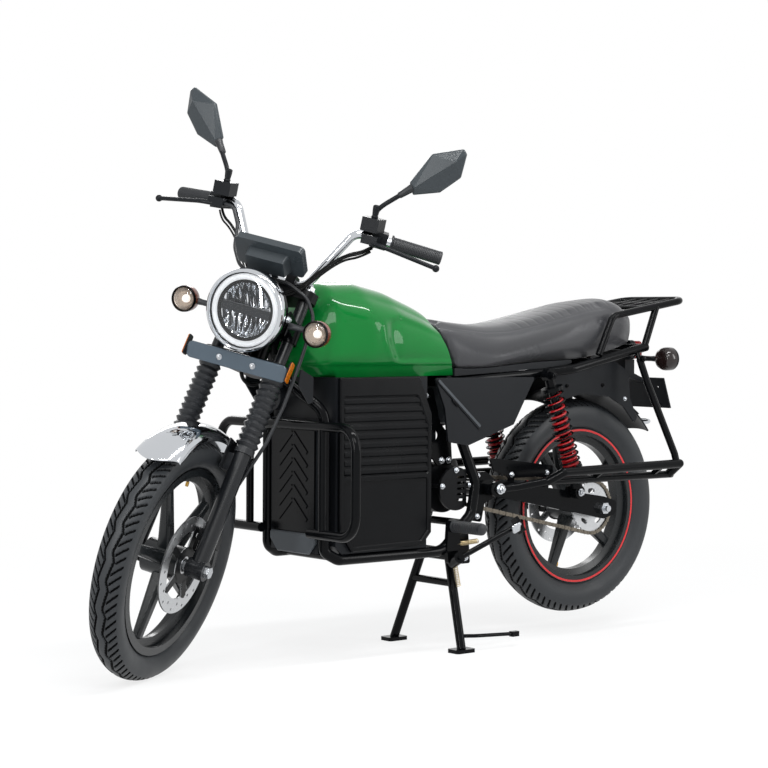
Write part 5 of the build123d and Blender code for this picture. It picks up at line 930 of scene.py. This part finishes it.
BOLT_ROWS = {
    # name: (body, finish, [(key width, axis or None for both sides, places)])
    "frame_bolts": ("frame", zinc_plate, [
        (19, None, [(-255, 142, 423)]),
        (14, None, [(-533, 164, 402)]),
        (10, ACROSS, [(-444, 121, 458), (-314, 121, 458)]),
        (10, ACROSS, [(-81.7, 106, 435.5), (-130, 106, 476), (-178.3, 106, 435.5)]),
        (12, None, [(-16, 60.3, 676), (-16, 60.3, 580), (-64, 60.3, 672)]),
        (12, None, [(-118, 60.3, 500), (-142, 60.3, 500)]),
        (10, None, [(-206, 105, 350), (-206, 105, 458), (-262, 105, 436)]),
        (12, None, [(-150, 120, 246)]),
        (8, None, [(-790, 78, 650)]),
    ]),
    "tail_bolts": ("frame", black_enamel, [
        (14, None, [(-440, 148, 722), (-790, 144, 764)]),
        (8, None, [(-700, 78, 690), (-560, 78, 690)]),
    ]),
    "steering_bolts": ("steering", zinc_plate, [
        (10, (1, 0, 0), [(557.7, 46, 772.9), (557.7, -46, 772.9)]),
        (24, steer_up, [(404, 87, 960), (404, -87, 960), steer_foot + steer_up * 738]),
        (12, None, [(532, 102, 902)]),
    ]),
}


def bolt(size):
    """Hexagon head for a key of a given width, standing on Z from its seat."""
    corner = size / math.sqrt(3)
    wide, thin, stud_r, high = corner * 1.3, size * 0.1, size * 0.3, size * 0.62
    washer = lathe([(0, 0), (wide, 0), (wide, thin), (0, thin)], 20)
    head = lathe([(corner, thin), (corner, high * 0.86), (corner * 0.8, high), (0, high)], 6)
    top = high * 1.42
    stud = lathe([(stud_r, high), (stud_r, high * 1.3), (size * 0.22, top), (0, top)], 12)
    return joined(washer, head, stud)


def bolt_pieces():
    for name, (body, look, rows) in BOLT_ROWS.items():
        parts = []
        for size, axis, places in rows:
            for side in (1,) if axis else (1, -1):
                for place in places:
                    at = standing(on_side(place, side), axis or (0, side, 0))
                    parts.append(placed(bolt(size), at))
        piece(name, joined(*parts), body, look, crease=25)


# Wheel trim: red line on the rear rim, valve stems with caps

RED_LINE_IN, RED_LINE_OUT = 209.5, 215
RED_LINE_T = 0.5
RED_LINE_SIDES = (37.05, -37.55)
VALVES = {
    # wheel: (centre, radius of its foot, angle)
    "front": (FRONT_AXLE, 212, 102),
    "rear": (REAR_AXLE, 197, 286),
}
VALVE_STEM = ((5, 0), (5, 4), (3.6, 7), (3.4, 20), (2.6, 20), (2.6, 24), (0, 24))
VALVE_CAP = ((2.7, 19), (4.2, 19), (4.2, 29), (3.2, 31), (0, 31))


def wheel_trim():
    lines = []
    for low in RED_LINE_SIDES:
        high = low + RED_LINE_T
        band = [(RED_LINE_IN, low), (RED_LINE_OUT, low), (RED_LINE_OUT, high), (RED_LINE_IN, high)]
        lines.append(lathe(band, 160, True))
    spin = standing(REAR_AXLE, ACROSS)
    piece("rear_red_line", joined(*lines), "rear_wheel", red_line, spin)
    for end, (centre, radius, angle) in VALVES.items():
        turn = math.radians(angle)
        out = Vector((math.cos(turn), 0, math.sin(turn)))
        at = standing(centre + out * radius, -out)
        body = end + "_wheel"
        piece(end + "_valve_stem", lathe(VALVE_STEM, 16), body, moulded_rubber, at)
        piece(end + "_valve_cap", lathe(VALVE_CAP, 16), body, turned_brass, at)


# Cables held along the bars, the loom under the plate bar and the leads of the motor

# From the switchgear under the bar to behind the headlamp: place and share of the shift
BAR_ROUTE = (
    (354, 214, 1106, 1), (374, 196, 1088, 1), (386, 166, 1076, 1), (392, 138, 1052, 1),
    (408, 104, 1010, 1), (418, 76, 974, 1), (436, 44, 952, 0.8), (458, 18, 934, 0.5),
)
BAR_CABLES = {
    # name: (diameter, shift ahead, shift up, side)
    "switch_lead_left": (7, 0, 0, 1),
    "brake_lead_left": (5, 10, -6, 1),
    "throttle_lead_left": (6, 18, -14, 1),
    "indicator_lead_left": (4, 26, -2, 1),
    "switch_lead_right": (7, 0, 0, -1),
    "brake_lead_right": (5, 9, -7, -1),
}
LOOM_ROUTE = (
    (496, -6, 800), (514, -4, 762), (520, 6, 730), (506, 26, 714),
    (493, 46, 722), (488, 62, 744), (476, 66, 800),
)
LOOM_D = 10
# Motor leads: x, how much of a lead's place across, and height
MOTOR_ROUTE = ((-60, 1, 560), (-66, 1, 530), (-92, 1.4, 508), (-112, 1.5, 486))
MOTOR_LEADS = {"a": -16, "b": 0, "c": 16}
MOTOR_LEAD_D = 9


def cable(name, route, diameter, body):
    """A sleeved cable along a smooth line near its route."""
    data = bpy.data.curves.new(name, "CURVE")
    data.dimensions = "3D"
    data.bevel_depth = diameter / 2 * MM
    data.bevel_resolution = 3
    data.use_fill_caps = True
    spline = data.splines.new("NURBS")
    spline.points.add(len(route) - 1)
    at = TURNED.get(body, AHEAD)
    for point, place in zip(spline.points, route):
        point.co = (*(at @ Vector(place) * MM), 1)
    spline.order_u = 3
    spline.use_endpoint_u = True
    data.materials.append(cable_pvc)
    dress(added(name, data), body)


def cable_pieces():
    for name, (diameter, ahead, up, side) in BAR_CABLES.items():
        route = [(x + ahead * fan, side * y, z + up * fan) for x, y, z, fan in BAR_ROUTE]
        cable(name, route, diameter, "steering")
    cable("lamp_loom", LOOM_ROUTE, LOOM_D, "steering")
    for lead, y in MOTOR_LEADS.items():
        route = [(x, y * spread, z) for x, spread, z in MOTOR_ROUTE]
        cable("motor_lead_" + lead, route, MOTOR_LEAD_D, "frame")


# Wiring cover between the motor's hanger plates, ribbed across its back

def wiring_cover():
    parts = [prism(rounded(96, 120, 12, 5) + (-60, 604), -50, 50)]
    for z in np.linspace(566, 642, 6):
        rib = [(-112, z - 3), (-106, z - 3), (-106, z + 3), (-112, z + 3)]
        parts.append(prism(rib, -44, 44))
    piece("wiring_cover", joined(*parts), "frame", satin_abs, ALONG_Y, bevel=3.0)


# Plate bar with rounded ends, and side reflectors on black backs

PLATE_BAR = (551.7, 0, 772.9)
SIDE_REFLECTOR = (549, 141.4, 780)
REFLECTOR_LEAN = math.radians(-26)
REFLECTOR_T = 2.4
BACK_NEAR, BACK_FAR = 0.2, 3.6


def plate_bar_pieces():
    at = Matrix.Translation(PLATE_BAR) @ ALONG_X
    bar = prism(rounded(274, 42, 13), 0, 6)
    piece("number_bar", bar, "steering", steel_enamel, at, ["plate_bar"], bevel=2.4)
    outline = rounded(22, 52, 5)
    for side, name in SIDES:
        at = Matrix.Translation(on_side(SIDE_REFLECTOR, side))
        at = at @ Matrix.Rotation(REFLECTOR_LEAN, 4, "Y") @ ALONG_Y
        lens = prism(outline, *sorted((0, side * REFLECTOR_T)))
        back = prism(outline, *sorted((-side * BACK_NEAR, -side * BACK_FAR)))
        nodes = once(side, "front_reflectors")
        name = "_" + name
        piece(
            "side_reflector" + name, lens, "steering", amber_lens, at, nodes, bevel=1.2
        )
        piece("reflector_back" + name, back, "steering", satin_abs, at, bevel=0.8)


# Mirrors: a faceted kite shell with its glass behind, on a bent stem with a boot

MIRROR_NECK = (330, 268, 1262)
MIRROR_TOE = {"left": math.radians(16), "right": math.radians(8)}
MIRROR_KITE = ((-6, 14), (34, 94), (108, 122), (118, 111), (115, 52), (72, 6), (8, -14))
MIRROR_RIDGE = ((6, 4, 9), (95, 88, 14))
MIRROR_BACK = -10.0
MIRROR_FACETS = (
    (0, 1, 7), (1, 8, 7), (1, 2, 8), (2, 3, 8), (3, 4, 8),
    (4, 5, 8), (5, 7, 8), (5, 6, 7), (6, 0, 7),
)
GLASS_SHARE = 0.88
STEM_FOOT = (370.2, 206.2, 1175.4)
STEM_R = 6
STEM_SOCKET = ((0, 0), (9, 0), (9, 4), (7.6, 6), (9.4, 22), (9.4, 30), (6.2, 32))
STEM_BOOT = ((6.1, -34), (8, -32), (9.6, -6), (11, 4), (7, 8))


def mirror_shell():
    count = len(MIRROR_KITE)
    front = [(u, v, 0) for u, v in MIRROR_KITE]
    back = [(u, v, MIRROR_BACK) for u, v in MIRROR_KITE]
    faces = list(MIRROR_FACETS)
    for k in range(count):
        after = (k + 1) % count
        faces.append((k, after, count + 2 + after, count + 2 + k))
    faces.append(tuple(range(count + 2, 2 * count + 2)))
    return np.array(front + list(MIRROR_RIDGE) + back, float), faces


def mirror_pieces():
    middle = np.mean(MIRROR_KITE, axis=0)
    pane = (np.array(MIRROR_KITE) - middle) * GLASS_SHARE + middle
    glass = prism(pane, MIRROR_BACK - 1.4, MIRROR_BACK - 0.2)
    for side, name in SIDES:
        toe = MIRROR_TOE[name]
        across = Vector((-math.sin(toe), side * math.cos(toe), 0))
        ahead = Vector((math.cos(toe), side * math.sin(toe), 0))
        turn = Matrix((across, (0, 0, 1), ahead)).transposed().to_4x4()
        neck = on_side(MIRROR_NECK, side)
        foot = on_side(STEM_FOOT, side)
        knee = foot + Vector((0, 0, 22))
        inside = neck + across * 16 + Vector((0, 0, 14))
        bend = (knee * 2 + neck) / 3
        rise = bezier(foot + Vector((0, 0, 8)), knee, bend, 9)
        path = np.vstack([[foot], rise, [neck], [inside]])
        stem, socket, boot = sweep(path, STEM_R, 14), lathe(STEM_SOCKET, 6), lathe(STEM_BOOT, 24)
        at = Matrix.Translation(neck) @ turn
        on_foot, on_neck = standing(foot, (0, 0, 1)), standing(neck, inside - bend)
        nodes = once(side, "mirrors")
        name = "_" + name
        shell = mirror_shell()
        piece("mirror_shell" + name, shell, "steering", slate_abs, at, nodes, 12, 3.0)
        piece("mirror_glass" + name, glass, "steering", silvered_glass, at, bevel=0.5)
        piece("mirror_stem" + name, stem, "steering", satin_abs)
        piece(
            "mirror_socket" + name, socket, "steering", satin_abs, on_foot, bevel=0.8
        )
        piece("mirror_boot" + name, boot, "steering", moulded_rubber, on_neck)


# Grips with fine rings, and the pegs' ribbed sleeves with end flanges

BAR_RISE = Vector((372, 165, 1130))
BAR_END = Vector((287, 362, 1109))
GRIP_SHARE = 0.42
PEG = (-88, 146.3, 334)
PEG_LENGTH = 111.5


def ringed(length, radius, pitch, rise, flange):
    """Profile of a sleeve with rings from a flanged start to a rounded end."""
    rows = [(radius - 4, 0), (flange, 0), (flange, 4), (radius, 6)]
    high = radius + rise
    for start in np.arange(9, length - 10, pitch):
        rows += [(radius, start), (high, start + pitch * 0.25), (high, start + pitch * 0.6)]
        rows.append((radius, start + pitch * 0.8))
    lip = radius + 0.8
    return rows + [(lip, length - 8), (lip, length - 2), (radius - 2, length), (0, length)]


def hand_and_foot_rests():
    inner = BAR_RISE + (BAR_END - BAR_RISE) * GRIP_SHARE
    length = (BAR_END - inner).length + 6
    grip = lathe(ringed(length, 16.2, 4.2, 0.8, 20), 40)
    peg = lathe(ringed(PEG_LENGTH, 14.2, 9, 1.6, 16), 32)
    for side, name in SIDES:
        start = on_side(inner, side)
        at = standing(start, on_side(BAR_END, side) - start)
        piece("grip_" + name, grip, "steering", moulded_rubber, at, once(side, "grips"))
        at = standing(on_side(PEG, side), (0, side, 0))
        piece("peg_" + name, peg, "frame", moulded_rubber, at, once(side, "footpegs"))


# Stand springs of straw coloured wire, and the bright shoe on the side stand

STAND_SPRINGS = {
    # stand: (start, end, turns)
    "side_stand": ((-78, 139, 285), (-176, 141, 290), 22),
    "centre_stand": ((-133, 100, 226), (-146, 100, 168), 13),
}
SPRING_R = 5.5
SPRING_WIRE = 2.2
SHOE = (-276, 182, 322)
SHOE_LEAN = math.radians(21)


def stand_trim():
    for body, (start, end, turns) in STAND_SPRINGS.items():
        run = Vector(end) - Vector(start)
        wire = coil(SPRING_R, SPRING_WIRE, turns, 0, run.length, 1.0)
        piece(body + "_spring", wire, body, straw_zinc, standing(start, run))
    shoe = prism(rounded(34, 22, 6), 0, 5)
    at = Matrix.Translation(SHOE) @ Matrix.Rotation(SHOE_LEAN, 4, "Y") @ ALONG_Y
    piece("side_stand_shoe", shoe, "side_stand", zinc_plate, at, bevel=1.5)


# Black carriers on the brake discs

CARRIERS = {
    # wheel: (centre, face, inner radius of the disc)
    "front": (FRONT_AXLE, 52.1, 84),
    "rear": (REAR_AXLE, -53.3, 74),
}
CARRIER_T = 1.2
CARRIER_IN, CARRIER_OUT = 22, 46


def disc_carriers():
    for end, (centre, face, inner) in CARRIERS.items():
        arm = [(40, -11), (inner + 4, -9), (inner + 9, 0), (inner + 4, 9), (40, 11)]
        hub = [(CARRIER_IN, 0), (CARRIER_OUT, 0), (CARRIER_OUT, CARRIER_T), (CARRIER_IN, CARRIER_T)]
        parts = [lathe(hub, 48, True)]
        for angle in range(36, 396, 72):
            turn = Matrix.Rotation(math.radians(angle), 4, "Z")
            parts.append(placed(prism(arm, 0, CARRIER_T), turn))
        at = Matrix.Translation(centre + Vector((0, face, 0))) @ ALONG_Y
        carrier = joined(*parts)
        body = end + "_wheel"
        piece(end + "_disc_carrier", carrier, body, cast_black, at, bevel=0.4)


# Tail lamp with a ribbed red lens on a black base, and the glass of the instrument

TAIL_LAMP = (-882, 0, 788)
TAIL_WIDTH, TAIL_HEIGHT = 120, 56
SCREEN = (474, 0, 1038)
SCREEN_LEAN = math.radians(38)


def lamp_and_screen():
    at = Matrix.Translation(TAIL_LAMP) @ ALONG_X
    lens = [prism(rounded(TAIL_WIDTH - 4, TAIL_HEIGHT - 4, 12), 3, 30)]
    rib = prism(rounded(3.4, TAIL_HEIGHT - 20, 1.6, 3), 0.6, 4)
    lens += [placed(rib, Matrix.Translation((y, 0, 0))) for y in np.linspace(-48, 48, 13)]
    piece("tail_lens", joined(*lens), "frame", red_lens, at, ["tail_lamp"], bevel=1.2)
    base = prism(rounded(TAIL_WIDTH, TAIL_HEIGHT, 13), 30, 49.5)
    piece("tail_lamp_base", base, "frame", satin_abs, at, bevel=2.0)
    up = Vector((-math.cos(SCREEN_LEAN), 0, math.sin(SCREEN_LEAN)))
    turn = Matrix((ACROSS, up.cross(ACROSS), up)).transposed().to_4x4()
    glass = prism(rounded(168, 68, 9), 10.1, 11.2)
    at = Matrix.Translation(SCREEN) @ turn
    piece("instrument_glass", glass, "steering", screen_glass, at, bevel=0.5)


# Front mudguard: rounded chrome sheet that flares and droops to a tongue ahead

GUARD_ENDS = (62.0, 136.0)
GUARD_TONGUE = 6.0
GUARD_HALF = 50.0
GUARD_FLARE = 9.0
GUARD_DROOP = 9.0
GUARD_CROWN = 338.0
GUARD_EDGE = 306.0
GUARD_T = 2.2


def front_mudguard():
    rows, columns = 97, 49
    share = np.linspace(0, 1, rows)[:, None]
    across = np.sin(np.linspace(-1, 1, columns) * math.pi / 2)[None, :]
    first = GUARD_ENDS[0] - GUARD_TONGUE * (1 - across**2)
    angle = first + (GUARD_ENDS[1] - first) * share
    half = GUARD_HALF + GUARD_FLARE * (1 - eased(angle, 60, 94))
    dome = np.sqrt(np.maximum(0, 1 - np.abs(across) ** 2.4))
    droop = GUARD_DROOP * (1 - eased(angle, 54, 74)) * dome
    radius = GUARD_EDGE + (GUARD_CROWN - GUARD_EDGE) * dome - droop
    turn = np.radians(angle)
    points = np.stack([radius * np.cos(turn), half * across, radius * np.sin(turn)], 2)
    part = points.reshape(-1, 3), grid_faces(rows, columns, False, False)
    at = Matrix.Translation(FRONT_AXLE)
    guard = piece(
        "front_mudguard", part, "steering", chrome_plate, at, ["front_fender"], 60
    )
    sheet = guard.modifiers.new("sheet", "SOLIDIFY")
    sheet.thickness = GUARD_T * MM
    sheet.offset = 0.0


# Grey trim along the seam of each side panel, with a slot near its middle

TRIM = (-122, 127.4, 652)
TRIM_LEAN = math.radians(-40.3)


def panel_trim():
    strip = prism(rounded(192, 7, 3, 4), -0.6, 0.6)
    slot = placed(prism(rounded(26, 5, 2.4, 4), -0.6, 1.0), Matrix.Translation((12, -9, 0)))
    for side, name in SIDES:
        at = Matrix.Translation(on_side(TRIM, side)) @ Matrix.Rotation(TRIM_LEAN, 4, "Y") @ ALONG_Y
        piece("panel_trim_" + name, strip, "frame", slate_paint, at, bevel=0.4)
        piece("panel_slot_" + name, slot, "frame", gloss_abs, at, bevel=0.3)


# Floor, light and camera

PAPER = "#f6f7f8"
FLOOR_REACH = 30.0
# Share of the floor that is blank white near the machine, and where it grows to all
BLANK_NEAR = 0.78
BLANK_FROM, BLANK_TO = 0.9, 3.2
FILL_STRENGTH = 0.5
SOFTBOXES = {
    # name: (place, target, size, watts)
    "key": ((2.2, 3.2, 3.4), (0, 0, 0.5), (2.0, 1.2), 62),
    "side": ((-3.0, 3.4, 2.0), (-0.3, 0, 0.6), (0.8, 2.4), 40),
    "back": ((-1.5, -3.4, 2.6), (0, 0, 0.6), (2.4, 0.8), 45),
    "strip_above": ((0.1, 1.1, 3.0), (0, 0, 0.6), (3.2, 0.12), 58),
    "strip_ahead": ((3.4, 1.0, 1.6), (0.4, 0, 0.7), (0.14, 2.0), 38),
}
CAMERA_PLACE = (3.506, 4.219, 0.869)
CAMERA_YAW = math.radians(-129.48)
CAMERA_PITCH = math.radians(-1.75)
CAMERA_ROLL = math.radians(0.34)
FOCAL_PIXELS = 2092.2
IMAGE_PIXELS = 768


def cleared(block):
    """An emptied node tree, and its socket for rays seen, mirrored or seen through."""
    block.use_nodes = True
    tree = block.node_tree
    tree.nodes.clear()
    path = put(tree, "LightPath")
    seen = path.outputs["Is Camera Ray"]
    for ray in ("Is Glossy Ray", "Is Transmission Ray"):
        seen = put(tree, "Math", {0: seen, 1: path.outputs[ray]}, operation="MAXIMUM").outputs[0]
    return tree, seen


def studio_floor():
    mesh = bpy.data.meshes.new("floor")
    far = FLOOR_REACH
    corners = [(-far, -far, 0), (far, -far, 0), (far, far, 0), (-far, far, 0)]
    mesh.from_pydata(corners, [], [(0, 1, 2, 3)])
    floor = added("floor", mesh)
    material = bpy.data.materials.new("white_paper")
    tree, seen = cleared(material)
    where = put(tree, "NewGeometry").outputs["Position"]
    far = put(tree, "VectorMath", {0: where}, operation="LENGTH").outputs["Value"]
    spread = {"Value": far, "From Min": BLANK_FROM, "From Max": BLANK_TO}
    blank = put(tree, "MapRange", {**spread, "To Min": BLANK_NEAR, "To Max": 1.0})
    share = put(tree, "Math", {0: seen, 1: blank.outputs[0]}, operation="MULTIPLY")
    paper = put(tree, "BsdfDiffuse", {"Color": linear(PAPER)})
    glow = put(tree, "Emission", {"Color": (1, 1, 1, 1), "Strength": 1.0})
    mixed = put(tree, "MixShader", {0: share.outputs[0], 1: paper.outputs[0], 2: glow.outputs[0]})
    put(tree, "OutputMaterial", {"Surface": mixed.outputs[0]})
    mesh.materials.append(material)


def studio_world():
    world = bpy.data.worlds.new("studio")
    bpy.context.scene.world = world
    tree, seen = cleared(world)
    fill = put(tree, "Background", {"Color": (0.98, 0.99, 1, 1), "Strength": FILL_STRENGTH})
    back = put(tree, "Background", {"Color": (1, 1, 1, 1), "Strength": 1.0})
    mixed = put(tree, "MixShader", {0: seen, 1: fill.outputs[0], 2: back.outputs[0]})
    put(tree, "OutputWorld", {"Surface": mixed.outputs[0]})


def softboxes():
    for name, (place, target, size, watts) in SOFTBOXES.items():
        light = bpy.data.lights.new(name, "AREA")
        light.shape = "RECTANGLE"
        light.size, light.size_y = size
        light.energy = watts
        turn = (Vector(target) - Vector(place)).to_track_quat("-Z", "Y").to_matrix().to_4x4()
        added(name, light).matrix_world = Matrix.Translation(place) @ turn


def photo_camera():
    ahead = Vector((
        math.cos(CAMERA_PITCH) * math.cos(CAMERA_YAW),
        math.cos(CAMERA_PITCH) * math.sin(CAMERA_YAW),
        math.sin(CAMERA_PITCH),
    ))
    right = ahead.cross(Vector((0, 0, 1))).normalized()
    up = right.cross(ahead)
    tilted = math.cos(CAMERA_ROLL) * right + math.sin(CAMERA_ROLL) * up
    head = math.cos(CAMERA_ROLL) * up - math.sin(CAMERA_ROLL) * right
    data = bpy.data.cameras.new("camera")
    data.sensor_width = 36.0
    data.lens = FOCAL_PIXELS * data.sensor_width / IMAGE_PIXELS
    camera = added("camera", data)
    turn = Matrix((tilted, head, -ahead)).transposed().to_4x4()
    camera.matrix_world = Matrix.Translation(CAMERA_PLACE) @ turn
    bpy.context.scene.camera = camera


for make in (
    tyre_pieces, chain_piece, shock_coils, tank_piece, seat_piece, lamp_pieces, winker_pieces,
    bolt_pieces, wheel_trim, cable_pieces, wiring_cover, plate_bar_pieces, mirror_pieces,
    hand_and_foot_rests, stand_trim, disc_carriers, lamp_and_screen, front_mudguard, panel_trim,
    studio_floor, studio_world, softboxes, photo_camera,
):
    make()
bpy.context.scene.view_settings.view_transform = "Standard"
